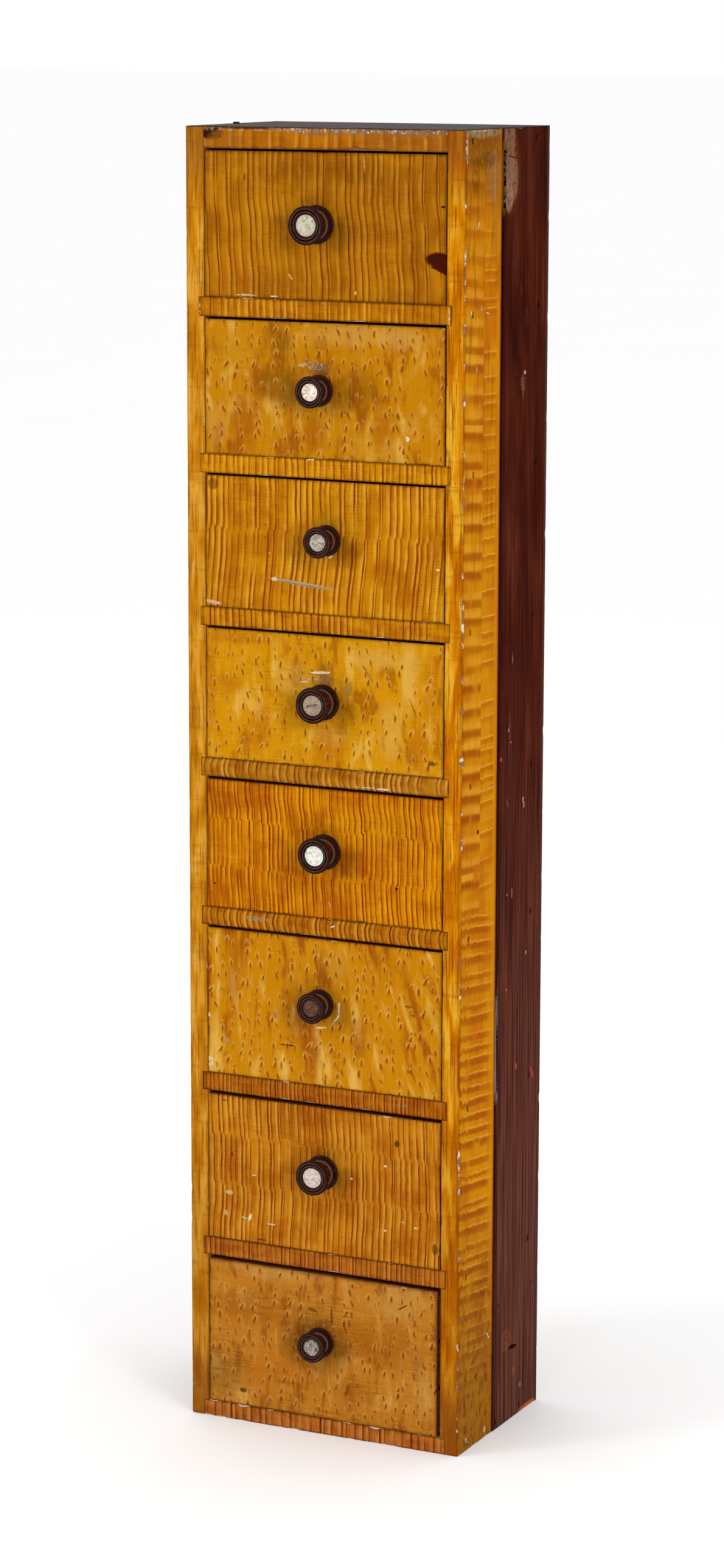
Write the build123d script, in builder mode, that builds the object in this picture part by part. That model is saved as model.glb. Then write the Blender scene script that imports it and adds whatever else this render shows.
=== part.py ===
"""A tall, narrow spice cabinet: eight drawers in one column, in a nailed pine case.

Millimetres, +Z up. The origin is the middle of the case's base, X runs to the right of
someone who faces the drawers, and the drawers pull out along -Y.
"""
import os
from build123d import *

# ---- Case ------------------------------------------------------------------------------
opening_width = 185.0
opening_heights = [101.5, 95.0, 94.0, 94.0, 94.0, 108.0, 109.0, 110.0]  # from the top down
case_depth = 138.0  # over the back board
side_thickness = 14.0
side_front_board_depth = 59.0  # each side is two boards, edge to edge
rear_board_step = 0.6  # the rear board stands this much proud of the front one
top_thickness = 15.0
shelf_thickness = 13.5
bottom_thickness = 12.0
housing_depth = 4.0  # how far shelves and bottom are let into the sides
back_thickness = 4.5
arris = 0.8  # worn outer corners of the case
chip_drop = 12.0  # from the top of the case to a strip split off the right rear board
chip_height = 45.0
chip_width = 4.6
chip_depth = 1.6
splinter_bottom = 248.0  # a long splinter is gone from the same edge, lower down
splinter_height = 92.0
splinter_width = 3.8
splinter_depth = 1.2

# ---- Nails: rectangular cut nails ---------------------------------------------------------
nail_width = 2.9
nail_breadth = 4.4
nail_length = 30.0
nail_taper = 1.3  # degrees on each face
nail_sunk = 0.9  # how far the heads lie below the face
front_nail_insets = [9.6, 12.3, 14.8, 11.6, 14.0, 12.3, 13.5, 12.3, 17.0]  # from the case front
rear_nail_insets = [114.0, 120.5, 118.6, 116.7, 115.8, 117.5, 117.3, 118.2, 106.0]
spare_nail_inset = 64.0  # one more nail into the bottom board on each side
proud_nail_inset = 62.0  # a stray nail in the top end of the left side
proud_nail_height = 1.3
back_nail_width = 2.2
back_nail_length = 16.0

# ---- Drawers ----------------------------------------------------------------------------
left_gap = 0.6
right_gaps = [1.0, 1.2, 1.0, 1.0, 0.8, 1.0, 1.2, 3.0]
top_gaps = [1.4, 1.7, 1.5, 1.7, 2.0, 2.0, 2.6, 3.0]
stop_gap = 0.5  # behind a closed drawer
drawer_front_thickness = 13.0
drawer_side_thickness = 7.0
drawer_back_thickness = 7.5
drawer_side_drop = 2.0  # sides and back stop this much below the front's top edge
front_arris = 0.6
lap = 4.0  # wood left in front of the dovetails
tail_count = 3
pin_width = 3.2
tail_slope = 0.14
groove_depth = 3.0
groove_width = 3.0
groove_height = 7.0
panel_thickness = 5.0
panel_bevel = 15.0  # how far the bevel under the bottom runs in from the groove
panel_play = 0.3

# ---- Knobs ------------------------------------------------------------------------------
knob_diameters = [26.6, 22.0, 21.7, 25.5, 25.3, 22.0, 25.4, 22.0]
pearl_diameters = [14.8, 12.0, 11.9, 14.2, 14.2, 12.0, 14.2, 12.0]
knob_shifts = [-5.0, -3.0, 3.0, 0.0, 1.5, -2.0, 0.0, -0.7]  # right of the drawer's middle
knob_lifts = [1.4, 0.5, 5.6, 0.0, 1.8, 6.4, 6.3, 3.4]  # above the drawer's middle
knob_projections = [18.0, 16.2, 16.4, 18.0, 18.3, 16.2, 18.0, 16.0]
tenon_diameter = 8.0
tenon_gap = 0.1
flange_thickness = 2.6
flange_rise = 1.4
collar_step = 3.4  # the collar is this much smaller in radius than the flange
collar_width = 0.9
waist_step = 4.6  # and the waist this much
rim_bulge = 1.2
rim_thickness = 3.2
crest_width = 1.45  # from the pearl to the crest of the inner ring
crest_drop = 0.3
rim_groove_depth = 1.3
dish = 1.0  # the pearl's face lies this far behind the rim
pearl_thickness = 1.5
pearl_gap = 0.1

# ---- Levels and faces that the pieces share ------------------------------------------------
drawer_count = len(opening_heights)
shelf_count = drawer_count - 1
case_height = sum(opening_heights) + shelf_count * shelf_thickness + bottom_thickness + top_thickness
case_front = -case_depth / 2
case_back = case_depth / 2
frame_back = case_back - back_thickness
frame_depth = frame_back - case_front
seam = case_front + side_front_board_depth
housed_width = opening_width + 2 * housing_depth
outer_face = opening_width / 2 + side_thickness
rear_outer_face = outer_face + rear_board_step

floors = []
level = case_height - top_thickness
for opening_height in opening_heights:
    level -= opening_height
    floors.append(level)
    level -= shelf_thickness
shelf_centres = [floor - shelf_thickness / 2 for floor in floors[:-1]]
board_centres = [case_height - top_thickness / 2, *shelf_centres, bottom_thickness / 2]

os.makedirs("parts", exist_ok=True)


def save(builder, name):
    builder.part.label = name
    export_step(builder.part, f"parts/{name}.step")


# ---- Nails, and the bores that they leave in the wood -------------------------------------------
def side_nail_planes(sign):
    """A plane on each nail head in one side: two into every board, and a third into the bottom."""
    front_face = sign * (outer_face - nail_sunk)
    rear_face = sign * (rear_outer_face - nail_sunk)
    heads = [(front_face, case_front + inset, z) for inset, z in zip(front_nail_insets, board_centres)]
    heads += [(rear_face, case_front + inset, z) for inset, z in zip(rear_nail_insets, board_centres)]
    heads.append((rear_face, case_front + spare_nail_inset, board_centres[-1]))
    return [Plane(origin=head, x_dir=(0, 1, 0), z_dir=(-sign, 0, 0)) for head in heads]


proud_nail_x = -(outer_face + opening_width / 2) / 2
proud_nail_head = (proud_nail_x, case_front + proud_nail_inset, case_height + proud_nail_height)
head_planes = [*side_nail_planes(-1), *side_nail_planes(1), Plane(proud_nail_head, z_dir=(0, 0, -1))]

with BuildPart() as case_nails:
    with BuildSketch(*head_planes):
        Rectangle(nail_width, nail_breadth)
    extrude(amount=nail_length, taper=nail_taper)
save(case_nails, "case_nails")

with BuildPart() as nail_bores:
    add(case_nails.part)
    with BuildSketch(*head_planes):
        Rectangle(nail_width, nail_breadth)
    extrude(amount=-nail_sunk - rear_board_step)

back_nail_columns = [side * opening_width / 4 for side in (-1, 1)]
edge_nail_columns = [side * (opening_width + side_thickness) / 2 for side in (-1, 1)]
opening_centres = [floor + height / 2 for floor, height in zip(floors, opening_heights)]
back_nail_places = [(x, z) for x in back_nail_columns for z in board_centres]
back_nail_places += [(x, z) for x in edge_nail_columns for z in opening_centres]

with BuildPart() as back_nails:
    with BuildSketch(Plane.XZ.offset(-case_back)):
        with Locations(*back_nail_places):
            Rectangle(back_nail_width, back_nail_width)
    extrude(amount=back_nail_length, taper=nail_taper)
save(back_nails, "back_nails")


# ---- Case boards ------------------------------------------------------------------------
def side_board(sign, front, back, face):
    """One upright board of a side, between two depths, housed for the shelves and the bottom."""
    with BuildPart() as board:
        with BuildSketch(Plane.XY):
            with Locations((sign * (opening_width / 2 + face) / 2, (front + back) / 2)):
                Rectangle(face - opening_width / 2, back - front)
        extrude(amount=case_height)
        outer_corners = board.edges().filter_by(Axis.Z).sort_by(Axis.X, reverse=sign > 0)[:2]
        chamfer(outer_corners.sort_by(Axis.Y)[0], length=arris)
        with BuildSketch(Plane.XZ.offset(-front)):
            inner_face = sign * (opening_width + housing_depth) / 2
            with Locations(*[(inner_face, z) for z in shelf_centres]):
                Rectangle(housing_depth, shelf_thickness)
            with Locations((inner_face, bottom_thickness / 2)):
                Rectangle(housing_depth, bottom_thickness)
        extrude(amount=front - back, mode=Mode.SUBTRACT)
        add(nail_bores.part, mode=Mode.SUBTRACT)
        add(back_nails.part, mode=Mode.SUBTRACT)
    return board


save(side_board(-1, case_front, seam, outer_face), "left_side_front_board")
save(side_board(-1, seam, frame_back, rear_outer_face), "left_side_rear_board")
save(side_board(1, case_front, seam, outer_face), "right_side_front_board")

with BuildPart() as worn_rear_board:
    add(side_board(1, seam, frame_back, rear_outer_face).part)
    with BuildSketch(Plane.YZ.offset(rear_outer_face)):
        Polygon(
            (seam, splinter_bottom),
            (seam + splinter_width, splinter_bottom + splinter_width),
            (seam + splinter_width, splinter_bottom + splinter_height / 3),
            (seam, splinter_bottom + splinter_height),
            align=None,
        )
    extrude(amount=-splinter_depth, mode=Mode.SUBTRACT)
    chip_top = case_height - chip_drop
    with BuildSketch(Plane.YZ.offset(rear_outer_face)):
        Polygon(
            (seam, chip_top - chip_height),
            (seam + chip_width, chip_top - chip_height + chip_width),
            (seam + chip_width, chip_top - chip_width),
            (seam, chip_top),
            align=None,
        )
    extrude(amount=-chip_depth, mode=Mode.SUBTRACT)
save(worn_rear_board, "right_side_rear_board")


def cross_board(width, thickness, underside):
    """A board from side to side and from the case front to the back board."""
    with BuildPart() as board:
        with BuildSketch(Plane.XY.offset(underside)):
            with Locations((0, (case_front + frame_back) / 2)):
                Rectangle(width, frame_depth)
        extrude(amount=thickness)
        add(nail_bores.part, mode=Mode.SUBTRACT)
        add(back_nails.part, mode=Mode.SUBTRACT)
    return board


save(cross_board(opening_width, top_thickness, case_height - top_thickness), "top_board")
for number, floor in enumerate(floors[:-1], start=1):
    save(cross_board(housed_width, shelf_thickness, floor - shelf_thickness), f"shelf_{number}")
save(cross_board(housed_width, bottom_thickness, 0), "bottom_board")

with BuildPart() as back_board:
    with BuildSketch(Plane.XY):
        with Locations((0, (frame_back + case_back) / 2)):
            Rectangle(2 * rear_outer_face, back_thickness)
    extrude(amount=case_height)
    chamfer(back_board.edges().filter_by(Axis.Z).group_by(Axis.Y)[-1], length=arris)
    add(back_nails.part, mode=Mode.SUBTRACT)
save(back_board, "back_board")


# ---- Drawers ----------------------------------------------------------------------------
front_inner_face = case_front + drawer_front_thickness
tail_tip = case_front + lap
drawer_end = frame_back - stop_gap
back_inner_face = drawer_end - drawer_back_thickness
groove_top = groove_height + groove_width
panel_front = front_inner_face - groove_depth + panel_play


def tail_outlines(base, tip, bottom, top):
    """Corners of the dovetails between two heights; each tail flares from its base to its tip."""
    pitch = (top - bottom) / tail_count
    half_tip = (pitch - pin_width) / 2
    half_base = half_tip - abs(tip - base) * tail_slope
    centres = [bottom + pitch * (tail + 0.5) for tail in range(tail_count)]
    return [
        [(base, z - half_base), (tip, z - half_tip), (tip, z + half_tip), (base, z + half_base)]
        for z in centres
    ]


def drawer_front(left, right, floor, height, knob_plane, tails):
    """A front with sockets for the half-blind dovetails, a groove for the bottom and a knob hole."""
    with BuildPart() as front:
        with BuildSketch(Plane.XZ.offset(-case_front)):
            with Locations(((left + right) / 2, floor + height / 2)):
                Rectangle(right - left, height)
        extrude(amount=-drawer_front_thickness)
        chamfer(front.faces().sort_by(Axis.Y)[0].edges(), length=front_arris)
        with BuildSketch(Plane.YZ.offset(left), Plane.YZ.offset(right - drawer_side_thickness)):
            for outline in tails:
                Polygon(*outline, align=None)
        extrude(amount=drawer_side_thickness, mode=Mode.SUBTRACT)
        with BuildSketch(Plane.YZ.offset(left + drawer_side_thickness)):
            with Locations((front_inner_face - groove_depth / 2, floor + groove_height + groove_width / 2)):
                Rectangle(groove_depth, groove_width)
        extrude(amount=right - left - 2 * drawer_side_thickness, mode=Mode.SUBTRACT)
        with Locations(knob_plane):
            Hole(tenon_diameter / 2 + tenon_gap, depth=drawer_front_thickness)
    return front


def drawer_side(face, floor, height, front_tails, back_tails, inward):
    """A side with tails at both ends, grooved for the bottom; inward is +1 or -1 along X."""
    with BuildPart() as side:
        with BuildSketch(Plane.YZ.offset(face)):
            with Locations(((front_inner_face + back_inner_face) / 2, floor + height / 2)):
                Rectangle(back_inner_face - front_inner_face, height)
            with Locations(((back_inner_face + drawer_end) / 2, floor + groove_top / 2)):
                Rectangle(drawer_back_thickness, groove_top)
            for outline in [*front_tails, *back_tails]:
                Polygon(*outline, align=None)
        extrude(amount=inward * drawer_side_thickness)
        with BuildSketch(Plane.YZ.offset(face + inward * (drawer_side_thickness - groove_depth))):
            with Locations(((tail_tip + drawer_end) / 2, floor + groove_height + groove_width / 2)):
                Rectangle(drawer_end - tail_tip, groove_width)
        extrude(amount=inward * groove_depth, mode=Mode.SUBTRACT)
    return side


def drawer_back(left, right, floor, height, tails):
    """The back stands on the bottom, between the tails of the sides."""
    with BuildPart() as back:
        with BuildSketch(Plane.XZ.offset(-back_inner_face)):
            with Locations(((left + right) / 2, floor + (groove_top + height) / 2)):
                Rectangle(right - left, height - groove_top)
        extrude(amount=-drawer_back_thickness)
        with BuildSketch(Plane.YZ.offset(left), Plane.YZ.offset(right - drawer_side_thickness)):
            for outline in tails:
                Polygon(*outline, align=None)
        extrude(amount=drawer_side_thickness, mode=Mode.SUBTRACT)
    return back


def drawer_bottom(left, right, floor):
    """A panel bevelled underneath to a tongue on three edges; it slides in under the back."""
    inner_left = left + drawer_side_thickness
    inner_right = right - drawer_side_thickness
    tongue = groove_depth - panel_play
    top = floor + groove_top
    lip = floor + groove_height
    underside = top - panel_thickness
    with BuildPart() as bottom:
        with BuildSketch(Plane.XZ.offset(-panel_front)):
            Polygon(
                (inner_left - tongue, top),
                (inner_left - tongue, lip),
                (inner_left, lip),
                (inner_left + panel_bevel, underside),
                (inner_right - panel_bevel, underside),
                (inner_right, lip),
                (inner_right + tongue, lip),
                (inner_right + tongue, top),
                align=None,
            )
        extrude(amount=panel_front - drawer_end)
        with BuildSketch(Plane.YZ.offset(inner_left - tongue)):
            Polygon(
                (panel_front, top),
                (panel_front, lip),
                (front_inner_face, lip),
                (front_inner_face + panel_bevel, underside),
                (drawer_end, underside),
                (drawer_end, top),
                align=None,
            )
        extrude(amount=inner_right - inner_left + 2 * tongue, mode=Mode.INTERSECT)
    return bottom


def turned_knob(knob_plane, diameter, projection, pearl_diameter):
    """A knob turned in one with its tenon: flange, collar, cove, rim, and a ring round the pearl."""
    radius = diameter / 2
    tenon = tenon_diameter / 2
    flange = radius - flange_thickness / 2
    collar = radius - collar_step
    collar_foot = flange_thickness + flange_rise
    collar_top = collar_foot + collar_width
    waist = radius - waist_step
    rim = radius - rim_bulge
    rim_foot = projection - rim_thickness
    crest = pearl_diameter / 2 + crest_width
    seat = pearl_diameter / 2 + pearl_gap
    seat_floor = projection - dish - pearl_thickness
    with BuildPart() as knob:
        with BuildSketch(knob_plane):
            with BuildLine():
                Polyline((0, seat_floor), (0, -drawer_front_thickness), (tenon, -drawer_front_thickness))
                Polyline((tenon, -drawer_front_thickness), (tenon, 0), (flange, 0))
                ThreePointArc((flange, 0), (radius, flange_thickness / 2), (flange, flange_thickness))
                Polyline((flange, flange_thickness), (collar, collar_foot), (collar, collar_top))
                ThreePointArc((collar, collar_top), (waist, (collar_top + rim_foot) / 2), (rim, rim_foot))
                ThreePointArc((rim, rim_foot), (radius, projection - rim_thickness / 2), (rim, projection))
                groove_floor = projection - rim_groove_depth
                ring_top = projection - crest_drop
                ThreePointArc((rim, projection), ((rim + crest) / 2, groove_floor), (crest, ring_top))
                Polyline((crest, ring_top), (seat, projection - dish), (seat, seat_floor), (0, seat_floor))
            make_face()
        revolve(axis=Axis(knob_plane.origin, knob_plane.y_dir))
    return knob


def pearl_inlay(knob_plane, diameter, projection):
    """A disc of shell that lies in the seat in the knob's face."""
    seat_plane = Plane(knob_plane.origin, x_dir=knob_plane.x_dir, z_dir=knob_plane.y_dir)
    with BuildPart() as inlay:
        with BuildSketch(seat_plane.offset(projection - dish - pearl_thickness)):
            Circle(diameter / 2)
        extrude(amount=pearl_thickness)
    return inlay


for index in range(drawer_count):
    number = index + 1
    floor = floors[index]
    front_height = opening_heights[index] - top_gaps[index]
    side_height = front_height - drawer_side_drop
    left = -opening_width / 2 + left_gap
    right = opening_width / 2 - right_gaps[index]
    knob_x = (left + right) / 2 + knob_shifts[index]
    knob_z = floor + front_height / 2 + knob_lifts[index]
    # On this plane X is the knob's radius and Y its length, out of the drawer's face.
    knob_plane = Plane((knob_x, case_front, knob_z), x_dir=(1, 0, 0), z_dir=(0, 0, -1))
    hole_plane = Plane((knob_x, case_front, knob_z), z_dir=(0, -1, 0))
    front_tails = tail_outlines(front_inner_face, tail_tip, floor, floor + side_height)
    back_tails = tail_outlines(back_inner_face, drawer_end, floor + groove_top, floor + side_height)

    save(drawer_front(left, right, floor, front_height, hole_plane, front_tails), f"drawer_front_{number}")
    left_side = drawer_side(left, floor, side_height, front_tails, back_tails, 1)
    right_side = drawer_side(right, floor, side_height, front_tails, back_tails, -1)
    back = drawer_back(left, right, floor, side_height, back_tails)
    frame = Compound([left_side.part, right_side.part, back.part])
    frame.label = f"drawer_sides_and_back_{number}"
    export_step(frame, f"parts/{frame.label}.step")
    save(drawer_bottom(left, right, floor), f"drawer_bottom_{number}")
    knob = turned_knob(knob_plane, knob_diameters[index], knob_projections[index], pearl_diameters[index])
    save(knob, f"knob_{number}")
    save(pearl_inlay(knob_plane, pearl_diameters[index], knob_projections[index]), f"knob_inlay_{number}")
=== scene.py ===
"""The finish of a tall, narrow spice chest: worn grained paint outside, bare pine inside."""

import math
from collections import namedtuple

import bmesh
import bpy
from mathutils import Matrix, Vector, noise


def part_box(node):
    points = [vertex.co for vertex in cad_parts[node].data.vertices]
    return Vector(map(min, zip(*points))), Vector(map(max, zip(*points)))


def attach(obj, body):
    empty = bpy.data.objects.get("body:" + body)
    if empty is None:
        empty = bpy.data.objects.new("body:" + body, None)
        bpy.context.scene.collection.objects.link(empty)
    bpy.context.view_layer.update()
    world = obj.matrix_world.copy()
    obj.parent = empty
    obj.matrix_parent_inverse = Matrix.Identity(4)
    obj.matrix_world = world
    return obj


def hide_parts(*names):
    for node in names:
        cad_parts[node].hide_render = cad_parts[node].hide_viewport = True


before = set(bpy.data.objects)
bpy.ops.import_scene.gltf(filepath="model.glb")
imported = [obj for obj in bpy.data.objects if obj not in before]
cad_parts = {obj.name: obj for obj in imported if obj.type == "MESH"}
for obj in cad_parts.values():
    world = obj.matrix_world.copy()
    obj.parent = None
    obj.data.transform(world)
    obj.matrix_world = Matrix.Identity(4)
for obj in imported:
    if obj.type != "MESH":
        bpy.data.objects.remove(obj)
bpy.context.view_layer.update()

MM = 0.001
X, Y, Z = 0, 1, 2


def node_box(node):
    """Lowest and highest corner of a CAD node, in millimetres."""
    low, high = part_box(node)
    return low / MM, high / MM


# ---- Sizes read from the CAD parts, in millimetres --------------------------------------
DRAWERS = range(1, 9)
SHELVES = range(1, 8)
front_low, front_high = node_box("right_side_front_board")
_, rear_high = node_box("right_side_rear_board")
back_low, back_high = node_box("back_board")
top_low, top_high = node_box("top_board")
case_front = front_low.y
case_back = back_high.y
case_height = front_high.z
side_face = front_high.x
rear_face = rear_high.x
seam = front_high.y
opening_edge = front_low.x

# Planes of the case: the axis each faces along, where it is, and the way into the wood.
FRONT = (Y, case_front, 1)
TOP = (Z, case_height, -1)
FOOT = (Z, 0, 1)
SIDES = {-1: "left", 1: "right"}


def knob_place(number):
    """The knob's centre line on the front, its radius and how far it stands out."""
    low, high = node_box(f"knob_{number}")
    return (low.x + high.x) / 2, (low.z + high.z) / 2, (high.x - low.x) / 2, case_front - low.y


# ---- Node trees -------------------------------------------------------------------------
class Value:
    """A node socket that can stand in arithmetic; each operation adds a Math node."""

    def __init__(self, nodes, socket):
        self.nodes = nodes
        self.socket = socket

    def also(self, output):
        """Another output of the same node."""
        return Value(self.nodes, self.socket.node.outputs[output])

    def maths(self, operation, *values):
        return self.nodes.node("ShaderNodeMath", {"operation": operation}, dict(enumerate(values)))

    def __add__(self, other):
        return self.maths("ADD", self, other)

    def __radd__(self, other):
        return self.maths("ADD", other, self)

    def __sub__(self, other):
        return self.maths("SUBTRACT", self, other)

    def __rsub__(self, other):
        return self.maths("SUBTRACT", other, self)

    def __mul__(self, other):
        return self.maths("MULTIPLY", self, other)

    def __rmul__(self, other):
        return self.maths("MULTIPLY", other, self)

    def __truediv__(self, other):
        return self.maths("DIVIDE", self, other)

    def __pow__(self, other):
        return self.maths("POWER", self, other)

    def __abs__(self):
        return self.maths("ABSOLUTE", self)


class Nodes:
    """A node tree in the making."""

    def __init__(self, tree):
        self.tree = tree

    def node(self, kind, settings=None, inputs=None, output=0):
        """Add a node: its settings first, then the values or links of its sockets.

        A colour may be the code that the function tone takes.
        """
        node = self.tree.nodes.new(kind)
        for name, value in (settings or {}).items():
            if name == "stops":
                elements = node.color_ramp.elements
                while len(elements) < len(value):
                    elements.new(1)
                for element, (position, colour) in zip(elements, value):
                    element.position = position
                    element.color = tone(colour)
            else:
                setattr(node, name, value)
        for key, value in (inputs or {}).items():
            if isinstance(value, Value):
                self.tree.links.new(value.socket, node.inputs[key])
            else:
                node.inputs[key].default_value = tone(value) if isinstance(value, str) else value
        return Value(self, node.outputs[output]) if node.outputs else None

    def vector(self, x, y, z):
        return self.node("ShaderNodeCombineXYZ", inputs={"X": x, "Y": y, "Z": z})

    def split(self, vector):
        """The three parts of a vector."""
        x = self.node("ShaderNodeSeparateXYZ", inputs={"Vector": vector}, output="X")
        return x, x.also("Y"), x.also("Z")

    def vectors(self, operation, *values, output=0):
        """Vector Math on these values."""
        settings = {"operation": operation}
        return self.node("ShaderNodeVectorMath", settings, dict(enumerate(values)), output)


class Finish(Nodes):
    """A procedural material in the making, with the place on the object in millimetres.

    Its colour is what has been painted so far; lay puts another coat over it.
    """

    def __init__(self, name):
        self.material = bpy.data.materials.new(name)
        self.material.use_nodes = True
        super().__init__(self.material.node_tree)
        self.surface = self.tree.nodes["Principled BSDF"]
        place = self.node("ShaderNodeTexCoord", output="Object")
        scale = {"operation": "SCALE"}
        self.place = self.node("ShaderNodeVectorMath", scale, {0: place, "Scale": 1 / MM})
        self.x, self.y, self.z = self.split(self.place)
        self.shaken = None

    def step(self, value, start, end):
        """0 before start and 1 past end, with a soft turn between; start may be the larger."""
        settings = {"interpolation_type": "SMOOTHSTEP"}
        inputs = {"Value": value, "From Min": start, "From Max": end}
        return self.node("ShaderNodeMapRange", settings, inputs)

    def most(self, first, *others):
        for other in others:
            first = first.maths("MAXIMUM", first, other)
        return first

    def least(self, first, *others):
        for other in others:
            first = first.maths("MINIMUM", first, other)
        return first

    def mix(self, factor, first, second):
        """Colours mixed: first where factor is 0, second where it is 1."""
        settings = {"data_type": "RGBA", "blend_type": "MIX"}
        return self.node("ShaderNodeMix", settings, {0: factor, 6: first, 7: second}, output=2)

    def lay(self, mask, paint):
        """Lay a paint over the colour where the mask is 1."""
        self.colour = self.mix(mask, self.colour, paint)

    def wash(self, value, start, end, strength, paint):
        """Lay a paint that comes in as the value goes from start to end, up to a strength."""
        self.lay(self.step(value, start, end) * strength, paint)

    def ramp(self, factor, *stops):
        return self.node("ShaderNodeValToRGB", {"stops": stops}, {"Fac": factor})

    def noise(self, grain, seed=0, detail=2, roughness=0.5, distortion=0, place=None):
        """Noise from 0 to 1; grain is the size of its features along X, Y and Z."""
        inputs = {
            "Vector": place or self.place,
            "Location": (seed * 7.31, seed * 3.77, seed * 5.19),
            "Scale": tuple(1 / size for size in grain),
        }
        mapped = self.node("ShaderNodeMapping", inputs=inputs)
        inputs = {
            "Vector": mapped,
            "Scale": 1,
            "Detail": detail,
            "Roughness": roughness,
            "Distortion": distortion,
        }
        return self.node("ShaderNodeTexNoise", inputs=inputs)

    def drift(self, amount, *grain, **more):
        """Noise that strays either way, by up to half this amount."""
        return (self.noise(*grain, **more) - 0.5) * amount

    def cells(self, dimensions, where, output):
        """The nearest of a scatter of points; where gives the place, scale and randomness."""
        settings = {"voronoi_dimensions": dimensions, "feature": "F1"}
        return self.node("ShaderNodeTexVoronoi", settings, where, output)

    def own_number(self, cell, channel="Red"):
        """A number from 0 to 1 that belongs to a cell as a whole."""
        return self.node("ShaderNodeSeparateColor", inputs={"Color": cell.also("Color")}, output=channel)

    def ragged(self):
        """The place shaken by up to 1.1 mm each way, so that what it draws has a torn outline."""
        if self.shaken is None:
            cloud = self.noise((1.6,) * 3, detail=4, roughness=0.6).also("Color")
            centred = self.vectors("SUBTRACT", cloud, (0.5,) * 3)
            self.shaken = self.vectors("MULTIPLY_ADD", centred, (2.2,) * 3, self.place)
        return self.shaken

    def blot(self, centre, radii, turn, shape):
        """A torn-edged oval, bar or splinter with these half sizes, turned by degrees."""
        inputs = {
            "Vector": self.ragged(),
            "Location": centre,
            "Rotation": tuple(math.radians(angle) for angle in turn),
            "Scale": radii,
        }
        local = self.node("ShaderNodeMapping", {"vector_type": "TEXTURE"}, inputs)
        if shape == "oval":
            gap = self.vectors("LENGTH", local, output="Value")
        else:
            along, across, up = self.split(local)
            if shape == "splinter":
                gap = self.most(abs(along), abs(up), abs(across) + (1 + up) * 0.5)
            else:
                gap = self.most(abs(along), abs(across), abs(up))
        return self.step(gap, 1.18, 0.82)

    def attribute(self, name):
        return self.node("ShaderNodeAttribute", {"attribute_name": name}, output="Fac")

    def dress(self, roughness, height=None, relief=0.1, gloss=0.02):
        """Give the surface its colour, roughness, relief in millimetres and gloss."""
        links = {"Base Color": self.colour, "Roughness": roughness}
        if height is not None:
            settings = {"Height": height, "Strength": 1, "Distance": relief * MM}
            links["Normal"] = self.node("ShaderNodeBump", inputs=settings)
        for name, value in links.items():
            if isinstance(value, Value):
                self.tree.links.new(value.socket, self.surface.inputs[name])
            else:
                self.surface.inputs[name].default_value = value
        self.surface.inputs["Specular IOR Level"].default_value = gloss
        return self.material


ROOM_LIGHT = 1.25  # how much light falls on the front, so that a tone comes out as it is named


def tone(code):
    """The paint that looks like this sRGB code in the light of the room."""
    levels = [int(code[place : place + 2], 16) / 255 for place in (0, 2, 4)]
    linear = [v / 12.92 if v <= 0.04045 else ((v + 0.055) / 1.055) ** 2.4 for v in levels]
    return (*[max(v / ROOM_LIGHT - 0.004, 0.0005) for v in linear], 1)


GROUND = "e4d6c0"  # the off-white ground under the graining
BARE_WOOD = "a9714c"
GRIME = "2a1508"
SCUFF = "a4967f"


# ---- Parts of the painted finishes ------------------------------------------------------
def away(across, up):
    """How far off a place is, from how far it is across and up."""
    return (across**2 + up**2) ** 0.5


def darker(f, colour, share):
    """The same colour with grime rubbed into it."""
    return f.mix(share, colour, GRIME)


def old_varnish(f, seed, lines=0.4, upright=False):
    """Brush lines, level or upright, and fly specks in the varnish over a painted colour."""
    grain = (0.5, 0.5, 18) if upright else (15, 15, 0.42)
    brush = f.noise(grain, seed, detail=3, roughness=0.65)
    patches = f.step(f.noise((42, 42, 24), seed + 1), 0.38, 0.6) * 0.75 + 0.25
    f.lay(f.step(brush, 0.47, 0.35) * patches * lines, darker(f, f.colour, 0.55))
    f.lay(f.step(brush, 0.56, 0.70) * patches * lines * 0.45, "dda436")
    speck = f.cells("3D", {"Vector": f.place, "Scale": 0.2, "Randomness": 1}, "Distance")
    chosen = f.own_number(speck)
    size = f.step(chosen, 0.70, 1) * 0.08
    spots = f.step(speck - size, 0.04, 0) * f.step(chosen, 0.70, 0.74)
    f.lay(spots * 0.7, GRIME)
    return brush


def worn_edge(f, seed, bare_from, white):
    """Chipped arrises: bare wood at the edge itself and the off-white ground round it."""
    wear = f.attribute("wear")
    tear = f.noise((1.1, 1.1, 1.1), seed + 3, detail=4, roughness=0.65)
    patchy = f.noise((7, 7, 11), seed + 4, detail=3)
    edge = wear + (tear - 0.5) * 1.3
    f.wash(edge, -0.9, 0.35, 0.42, darker(f, f.colour, 0.6))
    chip = f.step(edge, bare_from, bare_from + 0.12)
    inner = f.mix(f.step(tear, 0.42, 0.62), BARE_WOOD, darker(f, BARE_WOOD, 0.4))
    f.lay(chip, inner)
    ground = chip * f.step(patchy, 1 - white, 1.08 - white)
    f.lay(ground, GROUND)
    return chip


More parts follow.
